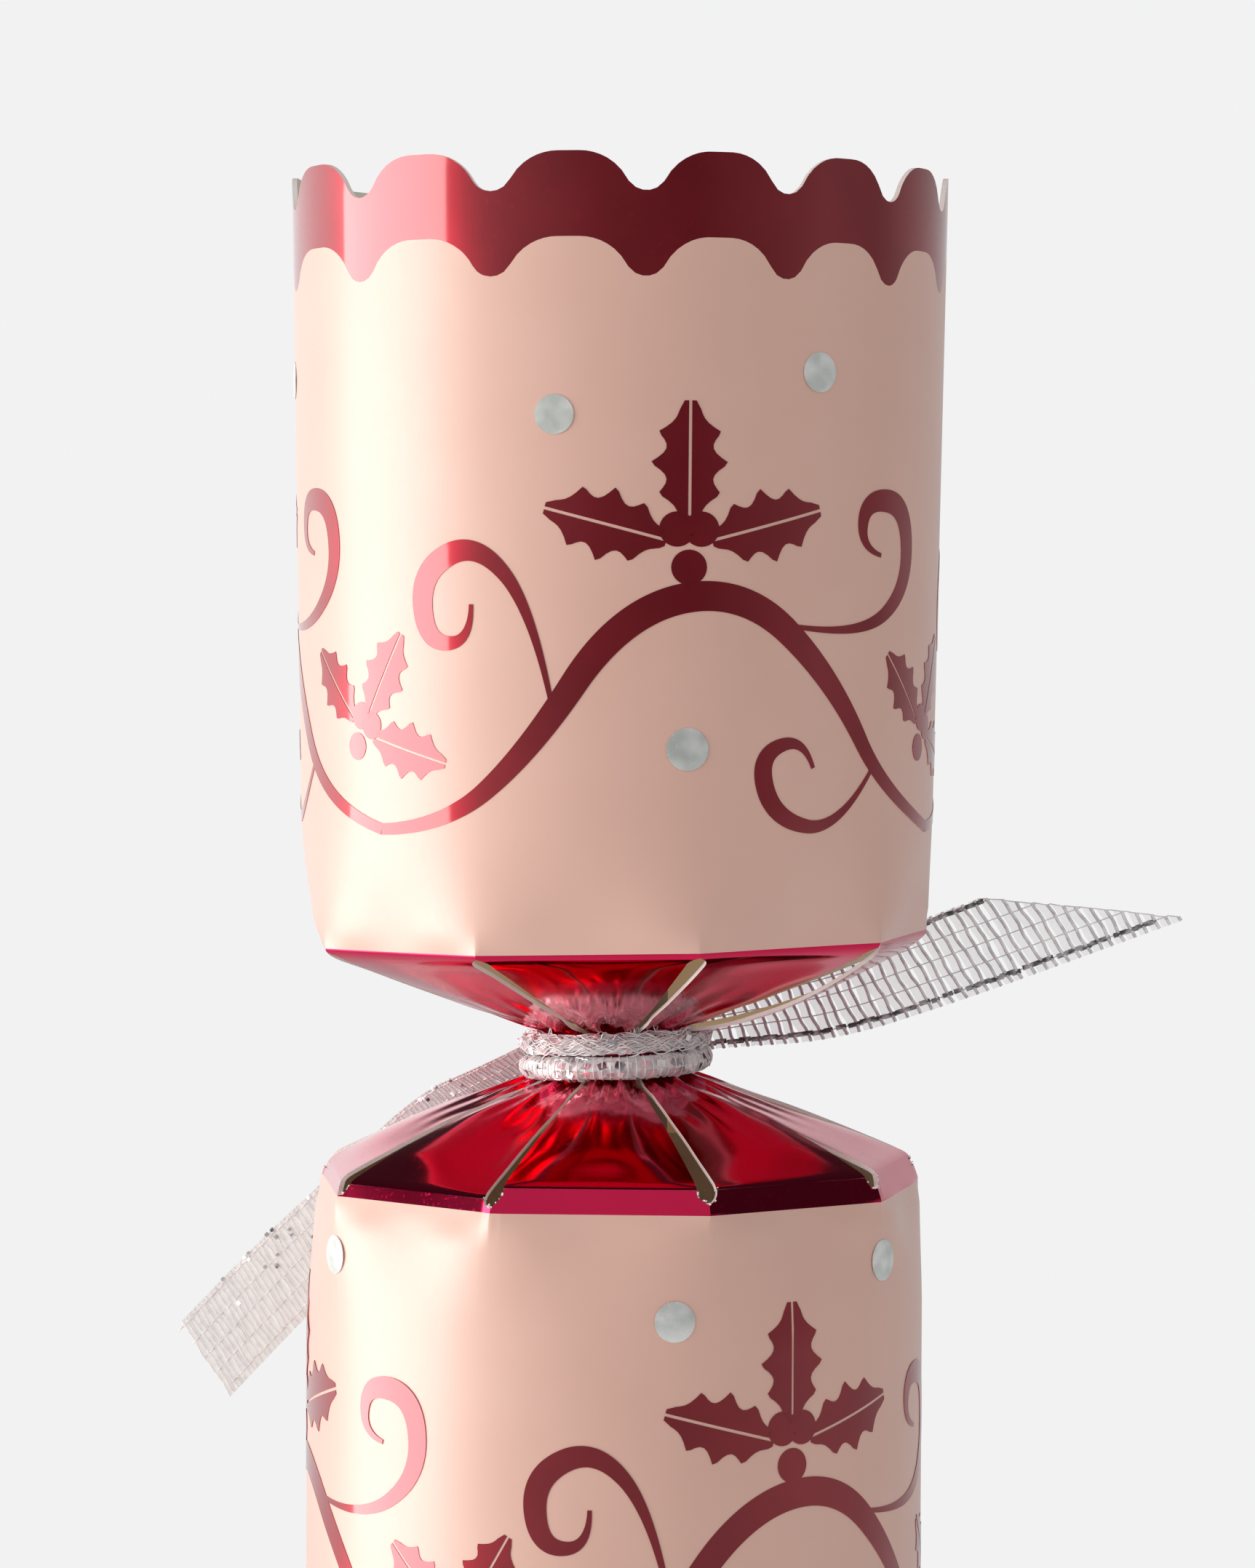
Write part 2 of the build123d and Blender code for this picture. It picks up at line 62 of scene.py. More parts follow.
def body_with(node):
    """The body that a node belongs to."""
    bodies = frame["record"]["behaviour"]["bodies"]
    return next(body for body, nodes in bodies.items() if node in nodes)


# Levels along the axis
lower_rim_z, lower_fold_z = levels("lower_end_wrap")
barrel_bottom_z, barrel_top_z = levels("barrel_wrap")
upper_fold_z, upper_rim_z = levels("upper_end_wrap")
lower_choke_z = sum(levels("lower_tie_winding")) / 2
upper_choke_z = sum(levels("upper_tie_winding")) / 2

# Tubes
barrel_radius = 25.0
end_fold_radius = 25.4
rim_radius = 26.5
end_length = upper_rim_z - upper_fold_z
facet_fade = 11.0  # over which the flats at a fold die away
soft_corner = 1.8  # over which the corners between the flats become soft
wrap_card = 0.4
seam_angle = radians(90)
seam_lap = 9.0
seam_rise = 6.0  # over which the upper layer climbs onto the lower one
fold_foil = 1.9  # by which the neck's foil comes over the barrel's fold
columns_per_scallop = 22
seam_step = 0.0008  # radians on each side of the seam's edge
least_step = 0.0007  # radians between two columns of the wall
seam_start = (3.0, 12.0)  # from a fold, between which the lap begins to stand out

# Neck strips
strip_count = 9
strip_angle = 2 * pi / strip_count
half_strip = strip_angle / 2
flat_depth = barrel_radius * (1 - cos(half_strip))  # of a flat's middle inside the round tube
slot_width = 1.75
slot_width_tied = 0.4
barrel_slot_reach = 1.0  # of a slot's round end below the barrel's fold
end_slot_start = 0.5  # from an end's fold to the round end of its slots
fold_lean = 0.68  # by which the foil over the barrel's fold leans in
strip_card = 0.3
barrel_slot_angle = radians(-72.8)
end_slot_angle = radians(-75.2)
choke_flat = 5.4  # from the axis to a strip inside the tie
choke_mouth = (1.8, 2.4)  # out from there and along from the tie, where a strip begins to turn into it
choke_inside = 1.4  # from the tie, where a strip lies flat
barrel_fold_rise = (0.0, 0.3, 0.2, 0.0, -0.1, -0.3, -0.7, -0.9, 0.0)  # towards the tie, strip by strip
end_fold_rise = 0.3  # towards the tie at the axis
end_fold_slope = -0.021  # by which this falls to the right
fold_bend = {  # from the fold inwards and towards the tie
    "end": [(0.0, 0.0), (0.05, 0.55), (1.3, 1.15)],
    "barrel": [(fold_lean, 0.0), (fold_lean + 0.2, 0.3), (1.5, 0.6)],
}
strip_crown = {"end": 0.1, "barrel": 0.3}  # by which a strip bulges between its fold and the tie
strip_belly = {"end": 0.05, "barrel": 0.3}  # by which it bulges between its two edges
strip_sag = {  # by which single strips stand out from the cone, so that a slot opens beside them
    "end": (0.0, 1.2, 0.0, 0.3, 0.0, 0.0, 0.2, 0.0, 0.0),
    "barrel": (0.0, -0.5, 0.0, 0.2, 0.0, 0.0, 0.2, 0.0, 0.0),
}
strip_pleats = [(0.13, 6.0), (0.09, 13.0), (0.04, 23.0)]  # height and closeness of the gathers at the choke
pleat_zone = (0.8, 6.5)  # out from the choke, over which they die away
pleat_sway = 0.12
strip_wave = (0.06, 9.0)  # height and closeness of the shallow waves further out
wave_zone = (3.0, 13.0)
strip_dent = (0.16, 2.2)  # depth and closeness of the dents between fold and choke
bend_zone = (0.3, 5.0)  # from the fold, over which a strip's belly begins
tear_gap = 0.2
fibres_per_slot = 10  # of paper, torn loose at the ends of the barrel's slots
fibre_zone = (-0.25, 0.05)  # about the card's edge
tie_shift = 0.6  # by which the tie sits nearer to the barrel than the tear

# Scalloped rim
scallop_count = 14
scallop_depth = 3.0
scallop_angle = radians(-88.5)
scallop_drift = radians(8.0)  # by which the scallops are uneven round the rim
drift_free = radians(51)  # from the front, where the drift passes through nothing
trough_radius = 1.7
crest_flat = 1.6
band_height = 6.5  # of the burgundy band along the rim

# Ribbon
ribbon_width = 7.5
bunch_width = 3.4
weft_pitch = 1.0
weft_slant = 1.4  # by which a weft leans back along the ribbon
weft_wave = [(0.08, 9), (0.04, 23)]  # height and closeness of a weft's sway along the ribbon
weft_crown = 0.07  # of a weft's middle, by its pitch
film_thickness = 0.04
thread_lift = 0.03  # of a weft's edge thread above the film
warp_shares = (0.1, 0.31, 0.52, 0.73, 0.95)  # across the ribbon, from its lower edge
warp_start = 0.3  # from the knot
warp_sway = 0.08
selvedge_dash = (0.7, 1.4)
end_margin = 0.2  # from the last weft to the ribbon's end
tail_threads = (0.1, 0.3, 0.42)  # diameters of fine, dark and selvedge strands
glint_depth = 0.13  # by which a painted glint bit stands out of the ribbon
glint_zone = (0.3, 0.88)  # shares of the ribbon's length between which the bits lie
glint_belt = 0.4  # share of its width, from the upper edge
glint_half = (0.1, 0.16)  # half the side of a bit

# Winding of the tie
cord_diameter = 1.7
winding_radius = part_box("upper_tie_winding")[1].x / MM - cord_diameter / 2
winding_pitch = 1.8
winding_turns = 2
winding_threads = (0.11, 0.1, 0.3)  # diameters of fine, dark and selvedge strands
winding_folds = [(0.07, 5, 30), (0.05, 3, -71)]  # height, count round the bunch, drift along it
winding_wide = 0.9  # of the cord's diameter, out from the neck
winding_high = 1.06  # of the cord's diameter, along the neck
ruffle_thinner = 0.28  # by which the bunch inside the ruffled turn is thinner
ruffle_start = winding_turns / 2  # where the turn of film goes over into the ruffled turn
bit_pitch = 0.62  # from one flat bit of film to the next along the winding
bit_step = bit_pitch / (2 * pi * winding_radius)  # in turns
bit_arc = np.arange(-1.3, 1.35, 0.8)  # round the bunch, from straight out
bit_lift = 0.03
winding_bare = (0.4, 0.85)  # share without bits, on the turn of film and on the ruffled turn
film_thread_arc = np.linspace(-2.0, 1.4, 9)  # round the bunch, as the next arcs are
film_thread_reach = 1.12  # of the half diameter
ruffle_strands = 120
ruffle_length = (0.1, 0.3)  # in turns
ruffle_reach = (0.72, 1.15)  # of the half diameter
ruffle_arc = (-0.9, 2.0)
ruffle_loops = 60
loop_height = (0.25, 0.7)
loop_spread = (0.15, 0.35)
loop_arc = (0.2, 2.1)
loop_lean = (-0.4, 0.4)

# Knot and tails
knot_width = 4.8
knot_depth = 2.8
knot_height = 6.4
knot_rows = 25
knot_folds = (0.08, 7)  # height and count of its upright pleats
tail_seat = 1.7  # from the winding's centreline out to the tails' start
lower_tie_turn = radians(24)

# The tails' routes, as points on the ribbon's centreline measured from the middle of the tie,
# each with the direction of the ribbon's upper edge
right_tail = [
    ((9.4, 10.8, 1.5), (-0.1, 0.75, 0.65)),
    ((17.6, 12.0, 2.7), (-0.2, 0.45, 0.87)),
    ((26.7, 11.4, 6.0), (-0.36, 0.1, 0.93)),
    ((36.3, 10.2, 9.6), (-0.38, 0.0, 0.92)),
    ((45.6, 9.0, 13.2), (-0.38, 0.0, 0.92)),
]
left_tail = [
    ((-8.6, 12.4, -4.0), (-0.75, -0.6, 0.28)),
    ((-14.3, 20.5, -8.0), (-0.62, -0.5, 0.6)),
    ((-21.6, 21.6, -15.5), (-0.6, -0.25, 0.75)),
    ((-28.9, 22.8, -22.6), (-0.69, 0.0, 0.72)),
    ((-35.8, 22.8, -30.0), (-0.69, 0.0, 0.72)),
]
right_cut_upper = (28.5, 11.6)  # to the right and up, on the slanted cut
right_cut_tip = (47.6, 9.9)

# Camera, worked out from the photograph's horizon and the tube's outline
camera_place = (0.83, -425.0, 264.4)
camera_pitch = radians(-1.8)
camera_roll = radians(0.3)
camera_lens = 120.2


class Sheet:
    """A node tree, with a short way to add a node and wire its inputs.
    A node that is given as a value stands for its first output."""

    def __init__(self, tree):
        self.tree = tree

    def add(self, kind, inputs=None, **settings):
        node = self.tree.nodes.new(kind)
        for name, value in settings.items():
            setattr(node, name, value)
        for key, value in (inputs or {}).items():
            if isinstance(value, bpy.types.Node):
                value = value.outputs[0]
            if isinstance(value, bpy.types.NodeSocket):
                self.tree.links.new(value, node.inputs[key])
            else:
                node.inputs[key].default_value = value
        return node

    def math(self, operation, first, second=0.0, third=0.0):
        return self.add("ShaderNodeMath", {0: first, 1: second, 2: third}, operation=operation).outputs[0]

    def feed(self, node, **sockets):
        """Wires outputs to the node's inputs of these names."""
        for name, output in sockets.items():
            self.tree.links.new(output, node.inputs[name.replace("_", " ")])

    def noise(self, scale, detail=2.0):
        """Noise over the piece's own coordinates."""
        where = self.add("ShaderNodeTexCoord").outputs["Object"]
        node = self.add("ShaderNodeTexNoise", {"Vector": where, "Scale": scale, "Detail": detail})
        return node.outputs["Fac"]

    def random(self, low, high, seed):
        draw = self.add("FunctionNodeRandomValue", {2: low, 3: high, "Seed": seed}, data_type="FLOAT")
        return draw.outputs[1]

    def mix(self, factor, first, second):
        node = self.add("ShaderNodeMix", {0: factor, 6: first, 7: second}, data_type="RGBA")
        return node.outputs[2]

    def ramp(self, factor, stops):
        node = self.add("ShaderNodeValToRGB", {"Fac": factor})
        elements = node.color_ramp.elements
        while len(elements) < len(stops):
            elements.new(0.5)
        for element, (place, colour) in zip(elements, stops):
            element.position = place
            element.color = colour
        return node.outputs["Color"]

    def spread(self, value, low, high, to_low, to_high):
        node = self.add(
            "ShaderNodeMapRange",
            {"Value": value, "From Min": low, "From Max": high, "To Min": to_low, "To Max": to_high},
        )
        return node.outputs["Result"]


def linear(code):
    """A colour written as six hexadecimal digits, in linear light."""
    parts = [int(code[i:i + 2], 16) / 255 for i in (0, 2, 4)]
    return tuple(c / 12.92 if c <= 0.04045 else ((c + 0.055) / 1.055) ** 2.4 for c in parts) + (1.0,)


def grey(level):
    return (level, level, level, 1.0)


# Effects that several finishes share


def new_group(name, kind, inputs, outputs):
    """A node group with named sockets, given as (name, socket type, default), and what it is given."""
    tree = bpy.data.node_groups.new(name, kind)
    for label, socket_type, default in inputs:
        socket = tree.interface.new_socket(name=label, in_out="INPUT", socket_type=socket_type)
        if default is not None:
            socket.default_value = default
    for label, socket_type in outputs:
        tree.interface.new_socket(name=label, in_out="OUTPUT", socket_type=socket_type)
    sheet = Sheet(tree)
    return sheet, sheet.add("NodeGroupInput").outputs


def make_paper_grain():
    """Fine fibres and slow cloudiness, as on card and paper."""
    sheet, given = new_group(
        "paper_grain",
        "ShaderNodeTree",
        [("Fibre Scale", "NodeSocketFloat", 2500.0), ("Cloud Scale", "NodeSocketFloat", 120.0)],
        [("Cloud", "NodeSocketFloat"), ("Height", "NodeSocketFloat")],
    )
    fibres = sheet.noise(given["Fibre Scale"], 4.0)
    cloud = sheet.noise(given["Cloud Scale"])
    sheet.add("NodeGroupOutput", {"Cloud": cloud, "Height": fibres})
    return sheet.tree


def make_foil_ripple():
    """Slow waves and fine specks of pressed foil."""
    sheet, given = new_group(
        "foil_ripple",
        "ShaderNodeTree",
        [("Wave Scale", "NodeSocketFloat", 90.0), ("Speck Scale", "NodeSocketFloat", 3000.0)],
        [("Height", "NodeSocketFloat"), ("Specks", "NodeSocketFloat")],
    )
    waves = sheet.noise(given["Wave Scale"], 1.5)
    specks = sheet.noise(given["Speck Scale"], 1.0)
    few = sheet.spread(specks, 0.62, 0.75, 0.0, 1.0)
    sheet.add("NodeGroupOutput", {"Height": waves, "Specks": few})
    return sheet.tree


def make_film_flash():
    """Painted glints: short bright and dark stretches, as flash along metallic film and thread."""
    sheet, given = new_group(
        "painted_film_flash",
        "ShaderNodeTree",
        [("Flash Scale", "NodeSocketFloat", 1400.0)],
        [("Flash", "NodeSocketFloat")],
    )
    sheet.add("NodeGroupOutput", {"Flash": sheet.noise(given["Flash Scale"], 1.0)})
    return sheet.tree


paper_grain = make_paper_grain()
foil_ripple = make_foil_ripple()
painted_film_flash = make_film_flash()


# Finishes


def new_finish(name, **sockets):
    """A material with one main shader, whose plain values are set on its own sockets."""
    material = bpy.data.materials.new(name)
    material.use_nodes = True
    sheet = Sheet(material.node_tree)
    sheet.tree.nodes.clear()
    shader = sheet.add("ShaderNodeBsdfPrincipled")
    for socket, value in sockets.items():
        shader.inputs[socket.replace("_", " ")].default_value = value
    sheet.add("ShaderNodeOutputMaterial", {"Surface": shader})
    return material, sheet, shader


def bump(sheet, height, distance):
    """The normal of a relief of this depth in metres."""
    relief = sheet.add("ShaderNodeBump", {"Height": height, "Distance": distance, "Strength": 1.0})
    return relief.outputs["Normal"]


def paper_finish(name, dark, light, roughness, fibre_depth, fibre_scale=2500.0, **sockets):
    """Card or paper between two close tones, with its fibres in relief."""
    material, sheet, shader = new_finish(name, **sockets)
    grain = sheet.add("ShaderNodeGroup", node_tree=paper_grain)
    grain.inputs["Fibre Scale"].default_value = fibre_scale
    fibres = grain.outputs["Height"]
    sheet.feed(
        shader,
        Base_Color=sheet.ramp(grain.outputs["Cloud"], [(0.3, linear(dark)), (0.7, linear(light))]),
        Roughness=sheet.spread(fibres, 0.3, 0.7, roughness - 0.05, roughness + 0.05),
        Normal=bump(sheet, fibres, fibre_depth),
    )
    return material


def foil_finish(name, dark, light, roughness, wave_depth, wave_scale, speck_roughness, **sockets):
    """Metal foil with slow waves and dull specks."""
    material, sheet, shader = new_finish(name, **sockets)
    ripple = sheet.add("ShaderNodeGroup", node_tree=foil_ripple)
    ripple.inputs["Wave Scale"].default_value = wave_scale
    waves = ripple.outputs["Height"]
    sheet.feed(
        shader,
        Base_Color=sheet.ramp(waves, [(0.35, linear(dark)), (0.65, linear(light))]),
        Roughness=sheet.spread(ripple.outputs["Specks"], 0.0, 1.0, roughness, speck_roughness),
        Normal=bump(sheet, waves, wave_depth),
    )
    return material


def turned_wood():
    """Pale turned wood with rings about the top's own axis."""
    material, sheet, shader = new_finish("turned_wood", Roughness=0.45)
    low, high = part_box("spinning_top")
    where = sheet.add("ShaderNodeTexCoord").outputs["Object"]
    centred = sheet.add(
        "ShaderNodeMapping", {"Vector": where, "Location": (-(low.x + high.x) / 2, 0.0, 0.0)}
    )
    rings = sheet.add(
        "ShaderNodeTexWave",
        {"Vector": centred, "Scale": 190.0, "Distortion": 3.0, "Detail": 2.0},
        wave_type="RINGS",
        rings_direction="X",
    ).outputs["Fac"]
    tone = sheet.ramp(rings, [(0.2, linear("B98A55")), (0.8, linear("E0BC86"))])
    sheet.feed(shader, Base_Color=tone, Normal=bump(sheet, rings, 0.00003))
    return material


def painted_glint_film():
    """Bits of metallic film with painted glints: each is painted dark, grey or white by its own random
    tone.
    """
    # The tones are painted glints; the partly metallic, coated surface adds real reflection.
    material, sheet, shader = new_finish(
        "painted_glint_film", Metallic=0.35, Specular_IOR_Level=1.0, Coat_Weight=0.6
    )
    tone = sheet.add("ShaderNodeAttribute", attribute_name="tone").outputs["Fac"]
    shade = sheet.math("MULTIPLY_ADD", sheet.noise(900.0), 0.25, tone)
    tones = [(0.17, "1C1C1E"), (0.23, "8C8C90"), (0.34, "D4D4D8"), (0.42, "FEFEFE")]
    colour = sheet.ramp(shade, [(stop, linear(code)) for stop, code in tones])
    sheet.feed(shader, Base_Color=colour, Roughness=sheet.spread(tone, 0.0, 1.0, 0.08, 0.25))
    return material


def ribbon_film(name, dark, light, roughness, metallic, alpha, **sockets):
    """Flat metallic film and thread, with bright and dark flashes painted into its colour as glints along
    its length.
    """
    material, sheet, shader = new_finish(name, Metallic=metallic, Alpha=alpha, **sockets)
    flashes = sheet.add("ShaderNodeGroup", node_tree=painted_film_flash).outputs["Flash"]
    sheet.feed(
        shader,
        Base_Color=sheet.ramp(flashes, [(0.4, linear(dark)), (0.58, linear(light))]),
        Roughness=sheet.spread(flashes, 0.3, 0.7, roughness, roughness + 0.15),
        Normal=bump(sheet, flashes, 0.00004),
    )
    return material


blush_card = paper_finish(
    "blush_card", "E2B3A3", "E5B7A7", 0.42, 0.000004,
    Specular_IOR_Level=0.8, Coat_Weight=0.9, Coat_Roughness=0.38,
)
burgundy_print = foil_finish(
    "burgundy_print", "A01225", "AC182B", 0.32, 0.00001, 160.0, 0.42,
    Metallic=0.9, Coat_Weight=0.9, Coat_Roughness=0.08, Coat_IOR=1.8,
)
crimson_foil = foil_finish(
    "crimson_foil", "DE1450", "E61856", 0.12, 0.00006, 110.0, 0.22,
    Metallic=1.0, Coat_Weight=0.35, Coat_Roughness=0.08,
)
silver_foil = foil_finish("silver_foil", "DCE0DC", "FAFCFA", 0.18, 0.00006, 600.0, 0.35, Metallic=0.45)
card_back = paper_finish("card_back", "F0EAE0", "F8F4EC", 0.75, 0.00002)
# Inner face of the neck strips: cream card with a painted glow, a faint warm emission standing in for light
# that reaches inside the neck through the slots.
strip_back_painted_glow = paper_finish(
    "strip_back_painted_glow", "F4E2C0", "FAECD2", 0.75, 0.00002, Emission_Color=linear("C89A6A"), Emission_Strength=0.2
)
cut_edge = paper_finish("cut_edge", "F0DCD8", "FCF4F0", 0.7, 0.00004, fibre_scale=6000.0)
liner_grey = paper_finish("liner_grey", "AFA99E", "BBB5AA", 0.85, 0.00003, fibre_scale=1800.0)
core_board = paper_finish("core_board", "A58E6E", "B59D7B", 0.85, 0.00003, fibre_scale=1600.0)
snap_board = paper_finish("snap_board", "9C9790", "ABA69F", 0.85, 0.00003)
snap_paper = paper_finish("snap_paper", "CFC3AA", "DCD2BC", 0.85, 0.00002)
charge_paste = paper_finish("charge_paste", "4A3F3A", "63564F", 0.9, 0.0001, fibre_scale=3500.0)
tissue = paper_finish(
    "tissue", "B5162C", "CC2440", 0.8, 0.00004, fibre_scale=4000.0, Sheen_Weight=0.2
)
motto_paper = paper_finish("motto_paper", "EDE8DC", "F6F2E8", 0.75, 0.00002)
wood = turned_wood()
weft_film = ribbon_film("weft_film", "F8F8FA", "FEFEFE", 0.3, 0.0, 0.2)
# The left tail's film, opaque and pale: partly a denser weave and partly painted light, standing in for the
# key light that falls on that tail.
pale_painted_lit_film = ribbon_film("pale_painted_lit_film", "F4F8FA", "FAFEFE", 0.35, 0.0, 0.6)
painted_glint_finish = painted_glint_film()
# Painted highlight: white bits that glow faintly, standing in for glints of light on the ribbon's film.
painted_highlight_bit = ribbon_film(
    "painted_highlight_bit", "FAFAFA", "FEFEFE", 0.2, 0.0, 1.0, Emission_Color=linear("FFFFFF"), Emission_Strength=0.35
)
silver_thread = ribbon_film(
    "silver_thread", "E8E8EA", "FEFEFE", 0.25, 0.0, 1.0, Specular_IOR_Level=1.0, Coat_Weight=0.6
)
dark_thread = ribbon_film("dark_thread", "DCDCE0", "FAFAFC", 0.3, 0.0, 1.0)
black_thread = ribbon_film("black_thread", "505054", "BCBCC0", 0.3, 0.1, 1.0)


# Meshes


def new_object(name, mesh):
    made = bpy.data.objects.new(name, mesh)
    bpy.context.scene.collection.objects.link(made)
    return made


def piece(name, points, faces, finishes, finish_of_face, sharp=30.0):
    """A mesh of closed shells from points in millimetres, with its faces turned outwards."""
    mesh = bpy.data.meshes.new(name)
    mesh.from_pydata((np.asarray(points) * MM).tolist(), [], faces)
    for finish in finishes:
        mesh.materials.append(finish)
    mesh.polygons.foreach_set("material_index", np.asarray(finish_of_face, np.int32))
    work = bmesh.new()
    work.from_mesh(mesh)
    bmesh.ops.recalc_face_normals(work, faces=work.faces)
    work.to_mesh(mesh)
    work.free()
    mesh.polygons.foreach_set("use_smooth", np.ones(len(mesh.polygons), bool))
    mesh.set_sharp_from_angle(angle=radians(sharp))
    return new_object(name, mesh)


class Shells:
    """Closed thin shells gathered for one piece; each face keeps the number of its finish."""

    def __init__(self):
        self.points = []
        self.faces = []
        self.finishes = []
        self.count = 0

    def add(self, outer, inner, finish_at=0, inner_finish=0, edge_finish=0, closed=False):
        """A sheet between two grids of points, with its edges; closed joins the last column to the first.
        finish_at gives the outer finish by row and column, or one finish for all."""
        rows, columns = outer.shape[:2]
        layer = rows * columns
        start = self.count
        self.points += [outer.reshape(-1, 3), inner.reshape(-1, 3)]
        self.count += 2 * layer

        def at(row, column):
            return start + row * columns + column % columns

        def face(corners, finish):
            self.faces.append(corners)
            self.finishes.append(finish)

        last = columns if closed else columns - 1
        for column in range(last):
            for row in range(rows - 1):
                quad = (at(row, column), at(row, column + 1), at(row + 1, column + 1), at(row + 1, column))
                face(quad, finish_at if isinstance(finish_at, int) else finish_at(row, column))
                face(tuple(layer + corner for corner in reversed(quad)), inner_finish)
            for row in (0, rows - 1):
                near, far = at(row, column), at(row, column + 1)
                face((near, far, layer + far, layer + near), edge_finish)
        for row in range(0 if closed else rows - 1):
            for column in (0, columns - 1):
                near, far = at(row, column), at(row + 1, column)
                face((near, far, layer + far, layer + near), edge_finish)

    def add_bar(self, rings):
        """A solid bar through rings of points, with flat ends and the first finish."""
        rows, columns = rings.shape[:2]
        start = self.count
        self.points.append(rings.reshape(-1, 3))
        self.count += rows * columns
        for row in range(rows - 1):
            for column in range(columns):
                beside = (column + 1) % columns
                quad = ((row, column), (row, beside), (row + 1, beside), (row + 1, column))
                self.faces.append(tuple(start + r * columns + c for r, c in quad))
        for row in (0, rows - 1):
            self.faces.append(tuple(start + row * columns + column for column in range(columns)))
        self.finishes += [0] * ((rows - 1) * columns + 2)

    def piece(self, name, finishes, sharp=30.0):
        return piece(name, np.concatenate(self.points), self.faces, finishes, self.finishes, sharp)


def place(made, body, slot, *nodes):
    """A finished piece rides on its body and stands for its nodes, which it hides; the slot is not used."""
    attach(made, body)
    if nodes:
        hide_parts(*nodes)


def smooth_step(value, low, high):
    share = np.clip((value - low) / (high - low), 0, 1)
    return share * share * (3 - 2 * share)


# Tubes of card


def scallop_drop(angle):
    """How far the scalloped rim lies below its crests at this angle."""
    period = 2 * pi / scallop_count
    drift = scallop_drift * (np.cos(angle + pi / 2) - cos(drift_free))
    turn = (angle - drift - scallop_angle + period / 2) % period - period / 2
    across = np.abs(rim_radius * np.sin(turn))
    half_span = rim_radius * sin(period / 2) - crest_flat / 2
    lean = 2 * atan(scallop_depth / half_span)
    crest_radius = half_span / sin(lean) - trough_radius
    trough = scallop_depth - trough_radius + np.sqrt(np.maximum(trough_radius**2 - across**2, 0))
    from_crest = np.clip(half_span - across, 0, crest_radius)
    crest = crest_radius - np.sqrt(crest_radius**2 - from_crest**2)
    return np.where(across < trough_radius * sin(lean), trough, crest)


class Tube:
    """One card tube: where its wall lies, with flats at its folds and a glued lap at the back.
    Each fold is given with 1 if the tube lies above it, and -1 if below."""

    def __init__(self, body, folds, fold_radius, flare, first_slot, slot_reach, lean):
        self.body = body
        self.folds = folds
        self.fold_radius = fold_radius
        self.flare = flare
        self.first_slot = first_slot
        self.slot_reach = slot_reach
        self.lean = lean

    def radius(self, angle, level):
        nearest = np.min([way * (level - fold) for fold, way in self.folds], axis=0)
        from_fold = nearest + self.fold_rise(angle)
        turn = (angle - self.first_slot) % strip_angle - half_strip
        flat = self.fold_radius * (1 - cos(half_strip) / np.cos(turn))
        rounded = flat_depth * (0.5 + 0.5 * np.cos(pi * turn / half_strip))
        past_band = from_fold - (fold_foil if self.lean else 0.0)
        dip = rounded + (flat - rounded) * np.clip(1 - past_band / soft_corner, 0, 1)
        fade = (1 - np.clip(past_band / facet_fade, 0, 1)) ** 2
        lap_start = seam_angle - seam_lap / barrel_radius / 2
        along_lap = (angle - lap_start) % (2 * pi) * barrel_radius
        rise = np.clip(along_lap / seam_rise, 0, 1) * (along_lap < seam_lap)
        lift = wrap_card * rise * smooth_step(from_fold, *seam_start)
        lean = self.lean * np.clip(1 - from_fold / fold_foil, 0, 1)
        return self.fold_radius + self.flare * from_fold - dip * fade - lean + lift

    def point(self, angle, level, lift=0.0):
        radius = self.radius(angle, level) + lift
        return np.stack([radius * np.cos(angle), radius * np.sin(angle), level], axis=-1)

    def fold_rise(self, angle):
        """How far the fold comes towards the tie at this angle."""
        if self.body != "barrel":
            return end_fold_rise + end_fold_slope * self.fold_radius * np.cos(angle)
        starts = self.first_slot + np.arange(strip_count) * strip_angle
        half_slot = slot_width / 2 / self.fold_radius
        corners = np.concatenate([starts + half_slot, starts + strip_angle - half_slot])
        return np.interp(angle, corners, barrel_fold_rise * 2, period=2 * pi)

    def fold_edge(self, angle):
        """How far the wall's edge comes towards the tie; the round ends of slots reach into it."""
        across = ((angle - self.first_slot + half_strip) % strip_angle - half_strip) * self.fold_radius
        notch = self.slot_reach * np.sqrt(np.maximum(1 - (2 * across / slot_width) ** 2, 0))
        return self.fold_rise(angle) - notch

    def columns(self):
        """Angles of the wall's columns, close together at the slots and at the seam's edge."""
        count = scallop_count * columns_per_scallop
        even = scallop_angle + np.arange(count) * 2 * pi / count
        slot_steps = slot_width / 2 * np.sin(np.linspace(-pi / 2, pi / 2, 9)) / self.fold_radius
        slots = self.first_slot + np.arange(strip_count)[:, None] * strip_angle + slot_steps[None]
        seam_edge = seam_angle + seam_lap / barrel_radius / 2
        seam = seam_edge + np.array([-seam_step, seam_step])
        angles = np.sort(np.concatenate([even, slots.ravel(), seam]) % (2 * pi))
        apart = np.diff(angles, append=angles[0] + 2 * pi)
        return angles[apart > least_step]


barrel_folds = [(barrel_bottom_z, 1), (barrel_top_z, -1)]
barrel = Tube("barrel", barrel_folds, barrel_radius, 0.0, barrel_slot_angle, barrel_slot_reach, fold_lean)
flare = (rim_radius - end_fold_radius) / end_length
upper_end = Tube("upper_end", [(upper_fold_z, 1)], end_fold_radius, flare, end_slot_angle, 0.0, 0.0)
lower_end = Tube("lower_end", [(lower_fold_z, -1)], end_fold_radius, flare, end_slot_angle, 0.0, 0.0)


